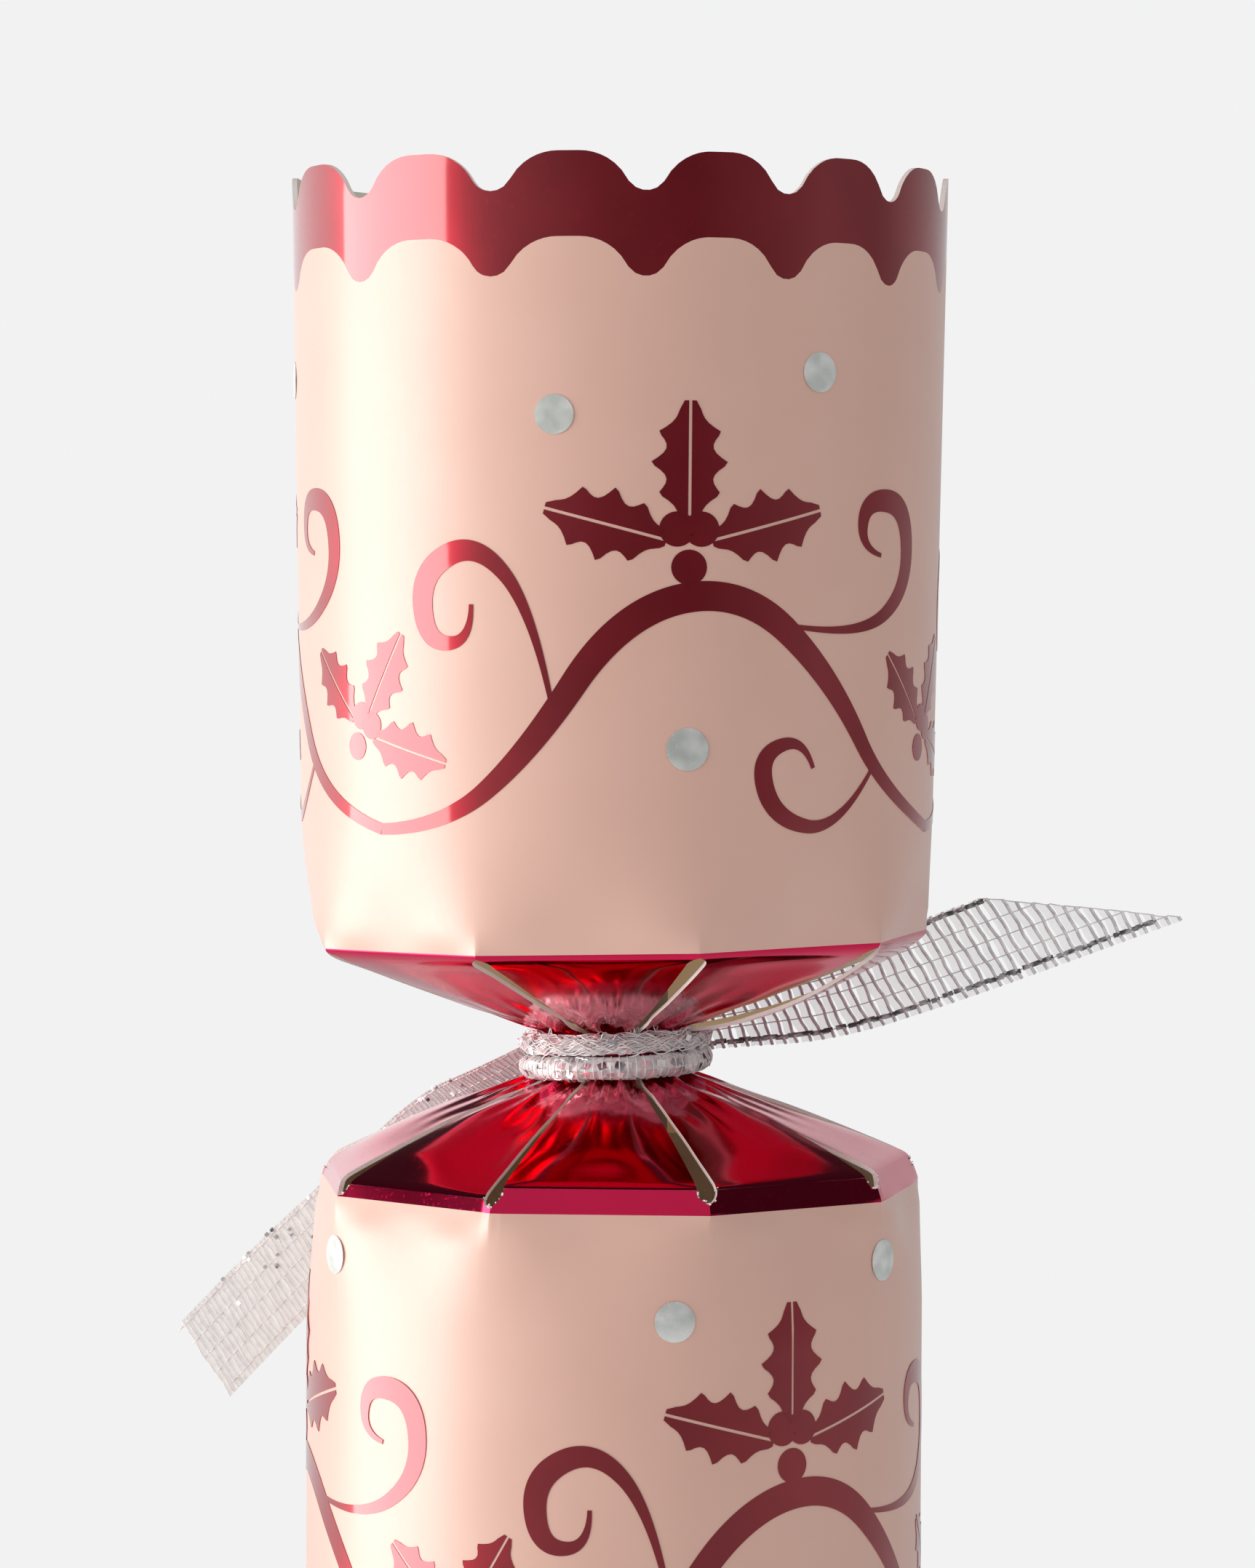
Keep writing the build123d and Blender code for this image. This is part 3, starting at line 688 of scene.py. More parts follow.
def wall(tube, zones):
    """The wall of a tube through zones given as (lower edge, upper edge, rows, finish, crowding).
    A crowding over 1 puts the rows closer together at the lower edge, under 1 at the upper edge."""
    angles = tube.columns()
    grids = []
    row_finish = []
    for lower, upper, rows, finish, crowding in zones:
        shares = np.linspace(0, 1, rows + 1)[:, None] ** crowding
        grid = lower(angles)[None] * (1 - shares) + upper(angles)[None] * shares
        grids.append(grid if not grids else grid[1:])
        row_finish += [finish] * rows
    level = np.concatenate(grids)
    turn = np.broadcast_to(angles[None], level.shape)
    shells = Shells()
    outer = tube.point(turn, level)
    inner = tube.point(turn, level, -wrap_card)
    shells.add(outer, inner, lambda row, column: row_finish[row], CARD_BACK, CUT_EDGE, True)
    return shells


BLUSH, BURGUNDY, CARD_BACK, CUT_EDGE, FOIL = range(5)


def make_wraps():
    """The printed wrappers of the two ends and the barrel."""
    wall_rows = {}

    def level(z):
        return lambda angles: np.full_like(angles, z)

    def fold(tube, number):
        """The wall's edge at one of the tube's folds."""
        fold_z, way = tube.folds[number]
        return lambda angles: fold_z - way * tube.fold_edge(angles)

    def rim(rim_z, way, drop=0.0):
        """A line along the scalloped rim, this far from its edge."""
        return lambda angles: rim_z - way * scallop_drop(angles) - way * drop

    wall_rows[barrel] = [
        (fold(barrel, 0), level(barrel_bottom_z + fold_foil), 6, FOIL, 1.0),
        (level(barrel_bottom_z + fold_foil), level(barrel_bottom_z + facet_fade), 12, BLUSH, 1.4),
        (level(barrel_bottom_z + facet_fade), level(barrel_top_z - facet_fade), 8, BLUSH, 1.0),
        (level(barrel_top_z - facet_fade), level(barrel_top_z - fold_foil), 12, BLUSH, 0.7),
        (level(barrel_top_z - fold_foil), fold(barrel, 1), 6, FOIL, 1.0),
    ]
    wall_rows[upper_end] = [
        (fold(upper_end, 0), level(upper_fold_z + facet_fade), 14, BLUSH, 1.4),
        (level(upper_fold_z + facet_fade), rim(upper_rim_z, 1, band_height), 8, BLUSH, 1.0),
        (rim(upper_rim_z, 1, band_height), rim(upper_rim_z, 1), 6, BURGUNDY, 1.0),
    ]
    wall_rows[lower_end] = [
        (rim(lower_rim_z, -1), rim(lower_rim_z, -1, band_height), 6, BURGUNDY, 1.0),
        (rim(lower_rim_z, -1, band_height), level(lower_fold_z - facet_fade), 8, BLUSH, 1.0),
        (level(lower_fold_z - facet_fade), fold(lower_end, 0), 14, BLUSH, 0.7),
    ]
    finishes = [blush_card, burgundy_print, card_back, cut_edge, crimson_foil]
    for tube, zones in wall_rows.items():
        made = wall(tube, zones).piece(f"{tube.body}_card", finishes)
        place(made, tube.body, "printed_card", f"{tube.body}_wrap")


# Neck strips


def bezier(first, control, last, steps):
    share = np.linspace(0, 1, steps)[:, None]
    first, control, last = (np.array(p) for p in (first, control, last))
    return first * (1 - share) ** 2 + 2 * control * share * (1 - share) + last * share**2


def strip_profile(fold_flat, neck_height, kind):
    """The outer face of a strip from its fold to the tear: distance from the axis, height from the tie."""
    bend = [(fold_flat - inward, neck_height - down) for inward, down in fold_bend[kind]]
    tie_side = tie_shift if kind == "barrel" else -tie_shift
    choke_start = (choke_flat + choke_mouth[0], choke_mouth[1] + tie_side)
    choke_end = (choke_flat, choke_inside + tie_side)
    along = Vector(choke_start) - Vector(bend[2])
    outward = Vector((-along.y, along.x)).normalized()
    crown = (Vector(bend[2]) + Vector(choke_start)) / 2 + 2 * strip_crown[kind] * outward
    parts = [
        bezier(*bend, 10),
        bezier(bend[2], crown, choke_start, 26)[1:],
        bezier(choke_start, (choke_flat + 0.1, choke_end[1] + 0.6), choke_end, 8)[1:],
        bezier(choke_end, (choke_flat, choke_end[1] / 2), (choke_flat, tear_gap / 2), 5)[1:],
    ]
    return np.concatenate(parts)


def strip_half_widths(tube, distance, from_fold):
    """Half widths of a strip between slots that taper to the tie, with round ends next to an end's fold."""
    fold_flat = tube.fold_radius * cos(half_strip)
    share = (distance - choke_flat) / (fold_flat - choke_flat)
    gap = slot_width_tied + (slot_width - slot_width_tied) * share
    if tube.slot_reach == 0:
        before_round = np.clip(1 - 2 * (from_fold - end_slot_start) / slot_width, 0, 1)
        gap = gap * np.sqrt(1 - before_round**2)
    return distance * tan(half_strip) - gap / 2


STRIP_FOIL, STRIP_BACK_PAINTED_GLOW, STRIP_EDGE = range(3)


def make_neck_strips(name, body, node, choke_z, toward, tube, neck_height, seed):
    """Nine foil strips between a fold and the tear; toward is 1 when their tube lies above the tie."""
    draw = np.random.default_rng(seed)
    kind = "barrel" if tube is barrel else "end"
    profile = strip_profile(tube.fold_radius * cos(half_strip), neck_height, kind)
    distance, height = profile[:, 0], profile[:, 1]
    steps = np.linalg.norm(np.diff(profile, axis=0), axis=1)
    from_fold = np.concatenate([[0], np.cumsum(steps)])
    slope = np.gradient(profile, axis=0)
    facing = np.stack([-slope[:, 1], slope[:, 0]], axis=1)
    facing /= np.linalg.norm(facing, axis=1)[:, None]
    half_width = strip_half_widths(tube, distance, from_fold)
    near_choke = 1 - smooth_step(distance - choke_flat, *pleat_zone)
    near_tie = 1 - smooth_step(distance - choke_flat, *wave_zone)
    past_bend = smooth_step(from_fold, *bend_zone)
    across = np.linspace(-1, 1, 29)
    shells = Shells()
    for strip in range(strip_count):
        middle = tube.first_slot + (strip + 0.5) * strip_angle
        phase = draw.uniform(0, 2 * pi, 4)
        belly = strip_belly[kind] * past_bend[:, None] * (1 - across[None] ** 2)
        fan = across[None] * (1 + pleat_sway * np.sin(distance[:, None] + phase[3]))
        gathers = zip(strip_pleats, phase)
        pleats = sum(rise * np.sin(close * fan + start) for (rise, close), start in gathers)
        sag = strip_sag[kind][strip] * np.sin(pi * from_fold / from_fold[-1])[:, None]
        dent = strip_dent[0] * np.sin(strip_dent[1] * across[None] + phase[2])
        dent = dent * (past_bend - near_choke).clip(0)[:, None]
        waves = strip_wave[0] * np.sin(strip_wave[1] * fan + phase[1]) * near_tie[:, None]
        lift = belly + sag + pleats * near_choke[:, None] + dent + waves
        layers = []
        for depth in (0.0, strip_card):
            out = distance[:, None] + facing[:, :1] * (lift - depth)
            up = height[:, None] + facing[:, 1:] * (lift - depth)
            side = half_width[:, None] * across[None]
            rise = tube.fold_rise(middle + np.arctan2(side, out))
            up = up - rise * (height / neck_height)[:, None]
            layers.append(np.stack([
                out * cos(middle) - side * sin(middle),
                out * sin(middle) + side * cos(middle),
                choke_z + toward * up,
            ], axis=-1))
        shells.add(*layers, STRIP_FOIL, STRIP_BACK_PAINTED_GLOW, STRIP_EDGE)
    made = shells.piece(name, [crimson_foil, strip_back_painted_glow, cut_edge], 40.0)
    place(made, body, "neck_foil", node)


# Geometry node trees


def named(sheet, name, data_type):
    node = sheet.add("GeometryNodeInputNamedAttribute", {"Name": name}, data_type=data_type)
    return node.outputs["Attribute"]


def make_thread_tree(kinds):
    """Turns the loose edges of a mesh into round threads, with a finish and diameter for each kind."""
    inputs = [("Geometry", "NodeSocketGeometry", None)]
    for kind in kinds:
        inputs.append((f"{kind} Diameter", "NodeSocketFloat", 0.0001))
        inputs.append((f"{kind} Finish", "NodeSocketMaterial", None))
    sheet, given = new_group("threads", "GeometryNodeTree", inputs, [("Geometry", "NodeSocketGeometry")])
    strand = named(sheet, "strand", "INT")

    def strand_is(operation, number):
        return sheet.add(
            "FunctionNodeCompare", {2: strand, 3: number}, data_type="INT", operation=operation
        )

    join = sheet.add("GeometryNodeJoinGeometry")
    film = sheet.add(
        "GeometryNodeDeleteGeometry",
        {"Geometry": given["Geometry"], "Selection": strand_is("GREATER_THAN", 0)},
    )
    sheet.feed(join, Geometry=film.outputs["Geometry"])
    for number, kind in enumerate(kinds, 1):
        line = sheet.add(
            "GeometryNodeMeshToCurve", {"Mesh": given["Geometry"], "Selection": strand_is("EQUAL", number)}
        )
        radius = sheet.math("MULTIPLY", given[f"{kind} Diameter"], 0.5)
        ring = sheet.add("GeometryNodeCurvePrimitiveCircle", {"Resolution": 5, "Radius": radius})
        thread = sheet.add(
            "GeometryNodeCurveToMesh", {"Curve": line, "Profile Curve": ring, "Fill Caps": True}
        )
        finish = given[f"{kind} Finish"]
        shown = sheet.add("GeometryNodeSetMaterial", {"Geometry": thread, "Material": finish})
        sheet.feed(join, Geometry=shown.outputs["Geometry"])
    real = sheet.add("GeometryNodeRealizeInstances", {"Geometry": join})
    sheet.add("NodeGroupOutput", {"Geometry": real})
    return sheet.tree


def make_setting_tree():
    """Sets a small shape on each point, turned to its facing and along directions, with a random tilt."""
    sheet, given = new_group(
        "setting",
        "GeometryNodeTree",
        [
            ("Geometry", "NodeSocketGeometry", None),
            ("Shape", "NodeSocketObject", None),
            ("Tilt", "NodeSocketFloat", 0.0),
            ("Size Spread", "NodeSocketFloat", 0.0),
            ("Seed", "NodeSocketInt", 1),
            ("Finish", "NodeSocketMaterial", None),
        ],
        [("Geometry", "NodeSocketGeometry")],
    )
    shape = sheet.add("GeometryNodeObjectInfo", {"Object": given["Shape"]})
    facing = sheet.add(
        "FunctionNodeAlignRotationToVector", {"Vector": named(sheet, "facing", "FLOAT_VECTOR")}, axis="Z"
    )
    turned = sheet.add(
        "FunctionNodeAlignRotationToVector",
        {"Rotation": facing, "Vector": named(sheet, "along", "FLOAT_VECTOR")},
        axis="X",
        pivot_axis="Z",
    )
    least = sheet.math("MULTIPLY", given["Tilt"], -1.0)

    def seed(step):
        return sheet.math("ADD", given["Seed"], float(step))

    angles = {axis: sheet.random(least, given["Tilt"], seed(step)) for step, axis in enumerate("XYZ")}
    euler = sheet.add("ShaderNodeCombineXYZ", angles)
    tilt = sheet.add("FunctionNodeEulerToRotation", {"Euler": euler})
    tilted = sheet.add(
        "FunctionNodeRotateRotation", {"Rotation": turned, "Rotate By": tilt}, rotation_space="LOCAL"
    )
    smallest = sheet.math("SUBTRACT", 1.0, given["Size Spread"])
    set_down = sheet.add(
        "GeometryNodeInstanceOnPoints",
        {
            "Points": sheet.add("GeometryNodeMeshToPoints", {"Mesh": given["Geometry"]}),
            "Instance": shape.outputs["Geometry"],
            "Rotation": tilted,
            "Scale": sheet.random(smallest, 1.0, seed(7)),
        },
    )
    # A random tone for each shape, which the glint finish paints as a dark, grey or white glint.
    toned = sheet.add(
        "GeometryNodeStoreNamedAttribute",
        {"Geometry": set_down, "Name": "tone", "Value": sheet.random(0.0, 1.0, seed(8))},
        data_type="FLOAT",
        domain="INSTANCE",
    )
    real = sheet.add("GeometryNodeRealizeInstances", {"Geometry": toned})
    shown = sheet.add("GeometryNodeSetMaterial", {"Geometry": real, "Material": given["Finish"]})
    sheet.add("NodeGroupOutput", {"Geometry": shown})
    return sheet.tree


strand_kinds = ["Fine", "Dark", "Selvedge"]
FINE, DARK, SELVEDGE = 1, 2, 3
thread_tree = make_thread_tree(strand_kinds)
setting_tree = make_setting_tree()


def worked(made, tree, values):
    """Runs a node tree on an object and keeps the result as its plain mesh."""
    run = made.modifiers.new(tree.name, "NODES")
    run.node_group = tree
    for item in tree.interface.items_tree:
        if item.in_out == "INPUT" and item.name in values:
            run[item.identifier] = values[item.name]
    bpy.context.view_layer.update()
    ready = made.evaluated_get(bpy.context.evaluated_depsgraph_get())
    mesh = bpy.data.meshes.new_from_object(ready)
    made.modifiers.remove(run)
    drawn = made.data
    made.data = mesh
    bpy.data.meshes.remove(drawn)
    for attribute in ("strand", "facing", "along"):
        if attribute in mesh.attributes:
            mesh.attributes.remove(mesh.attributes[attribute])
    return made


def add_threads(made, strands, diameters):
    """Adds strands, given as (kind, points in millimetres), to a mesh and makes them round threads."""
    mesh = made.data
    start = len(mesh.vertices)
    edges_before = len(mesh.edges)
    points = np.concatenate([line for kind, line in strands]) * MM
    mesh.vertices.add(len(points))
    co = np.zeros(len(mesh.vertices) * 3)
    mesh.vertices.foreach_get("co", co)
    co[start * 3:] = points.ravel()
    mesh.vertices.foreach_set("co", co)
    kinds = np.zeros(len(mesh.vertices), np.int32)
    pairs = []
    place_in = start
    for kind, line in strands:
        steps = np.arange(place_in, place_in + len(line) - 1)
        pairs.append(np.stack([steps, steps + 1], axis=1))
        kinds[place_in:place_in + len(line)] = kind
        place_in += len(line)
    pairs = np.concatenate(pairs)
    mesh.edges.add(len(pairs))
    ends = np.zeros(len(mesh.edges) * 2, np.int32)
    mesh.edges.foreach_get("vertices", ends)
    ends[edges_before * 2:] = pairs.ravel()
    mesh.edges.foreach_set("vertices", ends)
    mesh.attributes.new("strand", "INT", "POINT").data.foreach_set("value", kinds)
    mesh.update()
    values = {}
    for kind, diameter, finish in zip(strand_kinds, diameters, (silver_thread, dark_thread, black_thread)):
        values[f"{kind} Diameter"] = diameter * MM
        values[f"{kind} Finish"] = finish
    return worked(made, thread_tree, values)


def set_shapes(name, shape, points, facing, along, finish, tilt, size_spread, seed):
    """One piece of small shapes set on points in millimetres."""
    mesh = bpy.data.meshes.new(name)
    mesh.from_pydata((np.asarray(points) * MM).tolist(), [], [])
    for label, vectors in (("facing", facing), ("along", along)):
        attribute = mesh.attributes.new(label, "FLOAT_VECTOR", "POINT")
        attribute.data.foreach_set("vector", np.asarray(vectors, np.float32).ravel())
    made = new_object(name, mesh)
    values = {"Shape": shape, "Tilt": tilt, "Size Spread": size_spread, "Seed": seed, "Finish": finish}
    return worked(made, setting_tree, values)


# Ribbon


def nurbs_line(points):
    """Points read from the smooth NURBS line that has these control points, in millimetres."""
    curve = bpy.data.curves.new("route", "CURVE")
    curve.dimensions = "3D"
    curve.resolution_u = 24
    spline = curve.splines.new("NURBS")
    spline.points.add(len(points) - 1)
    for control, point in zip(spline.points, points):
        control.co = (*(Vector(point) * MM), 1.0)
    spline.order_u = 3
    spline.use_endpoint_u = True
    carrier = bpy.data.objects.new("route", curve)
    mesh = bpy.data.meshes.new_from_object(carrier)
    line = np.array([vertex.co for vertex in mesh.vertices]) / MM
    bpy.data.objects.remove(carrier)
    bpy.data.curves.remove(curve)
    bpy.data.meshes.remove(mesh)
    return line


def along_line(line, lengths, wanted):
    """Points at the wanted lengths along a line."""
    return np.stack([np.interp(wanted, lengths, line[:, axis]) for axis in range(3)], axis=-1)


# One of the ribbon's two faces: its film, the pitch and width of its wefts, the kinds of strand along their
# edges and along its selvedges, and how many painted glint bits, dark and glowing white, show on it
Face = namedtuple("Face", "film pitch weft_width weft_edge selvedge glints")
dark_face = Face(weft_film, weft_pitch, 0.72, DARK, SELVEDGE, 0)
# The pale face is partly a finer, denser weave and partly painted light: its opaque film and pale strands
# stand in for the key light falling on the left tail.
pale_painted_lit_face = Face(pale_painted_lit_film, weft_pitch / 2, 0.6, FINE, FINE, 44)


class Tail:
    """Where a ribbon tail lies: the lines of its middle and of its two edges, from the knot to its end.
    side is 1 to the right, and cut is a slanted line across the end, seen from the front of the tie."""

    def __init__(self, choke_z, tie_turn, side, route, cut):
        self.choke_z = choke_z
        self.tie_turn = tie_turn
        self.cut = cut
        knot_middle = Vector((0.0, winding_radius + tail_seat, 0.0))
        knot_side = knot_middle + Vector((side * knot_width / 2, 0.0, 0.0))
        stations = [(middle, Vector((0, 0, 1)), bunch_width / 2) for middle in (knot_middle, knot_side)]
        stations += [(Vector(point), Vector(edge).normalized(), ribbon_width / 2) for point, edge in route]
        turn = Matrix.Translation((0, 0, choke_z)) @ Matrix.Rotation(tie_turn, 4, "Z")
        self.exit = turn @ knot_side
        self.centre, self.lower, self.upper = (
            nurbs_line([turn @ (point + edge * half * share) for point, edge, half in stations])
            for share in (0, -1, 1)
        )
        steps = np.linalg.norm(np.diff(self.centre, axis=0), axis=1)
        self.lengths = np.concatenate([[0], np.cumsum(steps)])
        self.whole = self.lengths[-1]

    def at(self, length, share):
        """Points this far along the ribbon, and at this share of its width from its lower edge."""
        length = np.clip(length, 0, self.whole)
        low = along_line(self.lower, self.lengths, length)
        high = along_line(self.upper, self.lengths, length)
        return low + (high - low) * np.asarray(share)[..., None]

    def kept(self, points):
        """Which points lie below the slanted cut."""
        if self.cut is None:
            return np.ones(points.shape[:-1], bool)
        (upper_x, upper_z), (tip_x, tip_z) = self.cut
        seen_x = points[..., 0] * cos(self.tie_turn) + points[..., 1] * sin(self.tie_turn)
        cut_z = upper_z + (seen_x - upper_x) * (tip_z - upper_z) / (tip_x - upper_x)
        return points[..., 2] - self.choke_z < cut_z


def weave_wefts(tail, face, draw, shells):
    """Adds the flat wefts, and gives the strands along their edges and along the slanted cut."""
    shares = np.linspace(0, 1, 41)
    strands = []
    cut_line = []
    for weft in np.arange(weft_pitch, tail.whole - end_margin, face.pitch):
        wave = sum(rise * np.sin(shares * close + draw.uniform(0, 6)) for rise, close in weft_wave)
        lean = weft + weft_slant * (0.5 - shares) + wave
        width = face.weft_width * draw.uniform(0.8, 1.1)
        across = []
        for step in (-0.5, 0.0, 0.5):
            edge = lean + step * width
            inside = tail.kept(tail.at(edge, shares)) & (edge < tail.whole)
            if not inside[0]:
                break
            reach = np.linspace(0, shares[inside].max(), 13)
            across.append(tail.at(np.interp(reach, shares, lean) + step * width, reach))
        if len(across) < 3:
            continue
        grid = np.stack(across, axis=1)
        facing = np.cross(grid[:, 2] - grid[:, 0], np.gradient(grid[:, 1], axis=0))
        facing /= np.linalg.norm(facing, axis=1)[:, None]
        grid[:, 1] += facing * weft_crown * face.pitch
        shells.add(grid, grid - facing[:, None] * film_thickness)
        strands.append((face.weft_edge, grid[:, 2] + facing * thread_lift))
        if reach[-1] < 0.99:
            cut_line += [grid[-1, 0], grid[-1, 2]]
    if cut_line:
        strands.append((FINE, np.array(cut_line)))
    return strands


def warp_strands(tail, face, draw):
    """Fine warps along the ribbon, and the broken strands of its two selvedges."""
    strands = []
    last_weft = tail.whole - end_margin
    steps = np.arange(warp_start, last_weft - weft_slant / 2, weft_pitch / 3)
    for share in warp_shares:
        line = tail.at(steps, np.full_like(steps, share))
        line = line[tail.kept(line)]
        line[:, 1] += warp_sway * np.sin(np.arange(len(line)) * pi / 1.5 + share * 20)
        strands.append((FINE, line))
    for share in (warp_shares[0], warp_shares[-1]):
        for first in np.arange(warp_start, last_weft - weft_pitch, weft_pitch):
            dash = first + np.linspace(0, draw.uniform(*selvedge_dash), 5)
            line = tail.at(dash, np.full_like(dash, share + draw.uniform(-0.012, 0.012)))
            if tail.kept(line).all():
                strands.append((face.selvedge, line))
    return strands


def add_glints(tail, face, draw, shells):
    """Painted glints: dark bits and faintly glowing white bits by turns, most of them near the ribbon's
    upper edge.
    """
    for glint in range(face.glints):
        length = tail.whole * draw.uniform(*glint_zone)
        share = 1 - glint_belt * draw.uniform() ** 1.5
        # Every other bit is a dark painted glint; the rest are white painted highlights that glow faintly.
        finish = 1 + glint % 2
        half = draw.uniform(*glint_half)
        reach = np.array([-half, half])
        corners = tail.at(length + reach, np.array([share, share]))
        upward = tail.at(length, 1.0) - tail.at(length, 0.0)
        grid = corners[:, None] + upward * (reach / ribbon_width)[None, :, None]
        facing = np.cross(corners[1] - corners[0], upward)
        facing *= glint_depth / np.linalg.norm(facing)
        shells.add(grid + facing, grid - facing, finish, finish, finish)


def make_tail(name, body, node, tail, face, seed):
    """A sheer tail of flat wefts between fine warps and two firm selvedges.
    The face is the one of the ribbon's two faces that is turned to the front."""
    draw = np.random.default_rng(seed)
    shells = Shells()
    strands = weave_wefts(tail, face, draw, shells) + warp_strands(tail, face, draw)
    add_glints(tail, face, draw, shells)
    made = shells.piece(name, [face.film, black_thread, painted_highlight_bit], 50.0)
    add_threads(made, strands, tail_threads)
    place(made, body, "ribbon", node)


def bundle(shells, line, sideways, upward, outline):
    """A solid bundle along a line; outline gives its half sizes at each step and angle round it."""
    angles = np.linspace(0, 2 * pi, 25)[:-1]
    rows = []
    for step in range(len(line)):
        wide, high = outline(step / (len(line) - 1), angles)
        rows.append(line[step] + sideways[step] * (wide * np.cos(angles))[:, None]
                    + upward[step] * (high * np.sin(angles))[:, None])
    grid = np.stack(rows)
    shells.add_bar(grid)
    return grid


upright = np.array([0.0, 0.0, 1.0])


def winding_line(choke_z, tie_turn, turns):
    """Points, outward and forward directions of the winding's centreline, by turns from its start."""
    angle = seam_angle + tie_turn + 2 * pi * turns
    outward = np.stack([np.cos(angle), np.sin(angle), np.zeros_like(angle)], axis=1)
    forward = np.stack([-np.sin(angle), np.cos(angle), np.zeros_like(angle)], axis=1)
    line = winding_radius * outward
    line[:, 2] = choke_z + (turns - winding_turns / 2) * winding_pitch
    return line, outward, forward


def small_bit(name, half_length, half_width, rise, thickness, finish):
    """A short flat bit that is bowed along its length; rise gives its heights from end to end."""
    along = np.linspace(-half_length, half_length, len(rise))[:, None]
    across = np.array([[-half_width, half_width]])
    height = np.asarray(rise)[:, None]
    grid = np.stack(np.broadcast_arrays(along, across, height), axis=-1)
    shells = Shells()
    shells.add(grid, grid - np.array([0, 0, thickness]))
    return shells.piece(name, [finish])


def beside_winding(choke_z, tie_turn, turns, reach, around):
    """Points beside the winding's centreline, this far out and this far round its section."""
    line, outward, forward = winding_line(choke_z, tie_turn, turns)
    return line + outward * (reach * np.cos(around))[:, None] + upright * (reach * np.sin(around))[:, None]


def winding_strands(choke_z, tie_turn, draw):
    """Threads over the turn of film, and tangled threads and small loops over the ruffled turn."""
    half = cord_diameter / 2
    strands = []

    def strand(kind, turns, reach, around):
        strands.append((kind, beside_winding(choke_z, tie_turn, turns, reach, around)))

    for station in np.arange(0.02, ruffle_start, bit_step):
        reach = np.full_like(film_thread_arc, half * film_thread_reach)
        strand(FINE, np.full_like(film_thread_arc, station), reach, film_thread_arc)
    for number in range(ruffle_strands):
        first = draw.uniform(ruffle_start - 0.12, winding_turns - 0.2)
        turns = np.linspace(first, min(first + draw.uniform(*ruffle_length), winding_turns), 40)
        sway = 0.35 * np.sin(turns * draw.uniform(60, 150) + draw.uniform(0, 6))
        reach = half * (draw.uniform(*ruffle_reach) + 0.12 * np.sin(turns * 90 + draw.uniform(0, 6)))
        strand(FINE if number % 5 else DARK, turns, reach, draw.uniform(*ruffle_arc) + sway)
    for number in range(ruffle_loops):
        bow = np.linspace(0, pi, 9)
        height = draw.uniform(*loop_height)
        spread = draw.uniform(*loop_spread) / winding_radius
        middle = draw.uniform(ruffle_start - 0.1, winding_turns - 0.02)
        turns = middle + spread / (2 * pi) * np.cos(bow)
        around = draw.uniform(*loop_arc) + draw.uniform(*loop_lean) * np.cos(bow)
        strand(FINE, turns, half * winding_wide + height * np.sin(bow), around)
    return strands


def winding_glints(choke_z, tie_turn, draw):
    """Places, facing and along directions of the flat bits of film on the winding."""
    places, facings, alongs = [], [], []
    for station in np.arange(0.02, winding_turns - 0.02, bit_step):
        line, outward, forward = winding_line(choke_z, tie_turn, np.array([station]))
        bare_share = winding_bare[1] if station > ruffle_start else winding_bare[0]
        for around in bit_arc:
            if draw.uniform() < bare_share:
                continue
            way = outward[0] * cos(around) + upright * sin(around)
            places.append(line[0] + way * (cord_diameter / 2 + bit_lift))
            facings.append(way)
            alongs.append(forward[0])
    return places, facings, alongs


def make_winding(name, body, node, choke_z, tie_turn, flake, seed):
    """The bunched ribbon round a neck: a turn of flat metallic film and one of ruffled threads."""
    draw = np.random.default_rng(seed)
    turns = np.linspace(-0.03, winding_turns + 0.03, 240)
    line, outward, forward = winding_line(choke_z, tie_turn, turns)

    def outline(share, angles):
        waves = (rise * np.sin(count * angles + drift * share) for rise, count, drift in winding_folds)
        size = cord_diameter / 2 * (1 - ruffle_thinner * smooth_step(share, 0.45, 0.55)) * (1 + sum(waves))
        return winding_wide * size, winding_high * size

    shells = Shells()
    bundle(shells, line, outward, np.repeat([upright], len(line), axis=0), outline)
    made = shells.piece(name, [silver_thread], 60.0)
    add_threads(made, winding_strands(choke_z, tie_turn, draw), winding_threads)
    place(made, body, "ribbon", node)
    glints = winding_glints(choke_z, tie_turn, draw)
    bits = set_shapes(f"{name}_glints", flake, *glints, painted_glint_finish, 0.45, 0.15, seed)
    place(bits, body, "ribbon")


def make_torn_fibres(fold_z, into, seed):
    """White fibres where the die tore the card at the ends of the barrel's slots."""
    draw = np.random.default_rng(seed)
    fibre = small_bit("fibre", 0.13, 0.08, 0.1 * np.linspace(-1, 1, 4) ** 2, 0.03, cut_edge)
    turns = barrel.first_slot + np.repeat(np.arange(strip_count) * strip_angle, fibres_per_slot)
    side = draw.uniform(-1, 1, len(turns)) * slot_width / 2
    angle = turns + side / barrel_radius
    level = fold_z + into * (draw.uniform(*fibre_zone, len(turns)) - barrel.fold_edge(angle))
    facing = np.stack([np.cos(angle), np.sin(angle), draw.uniform(-0.6, 0.6, len(turns))], axis=1)
    along = draw.normal(size=(len(turns), 3))
    label = "upper" if into < 0 else "lower"
    made = set_shapes(
        f"barrel_{label}_torn_fibres", fibre, barrel.point(angle, level, 0.02), facing, along, cut_edge,
        0.8, 0.6, seed,
    )
    bpy.data.objects.remove(fibre)
    place(made, "barrel", "printed_card")


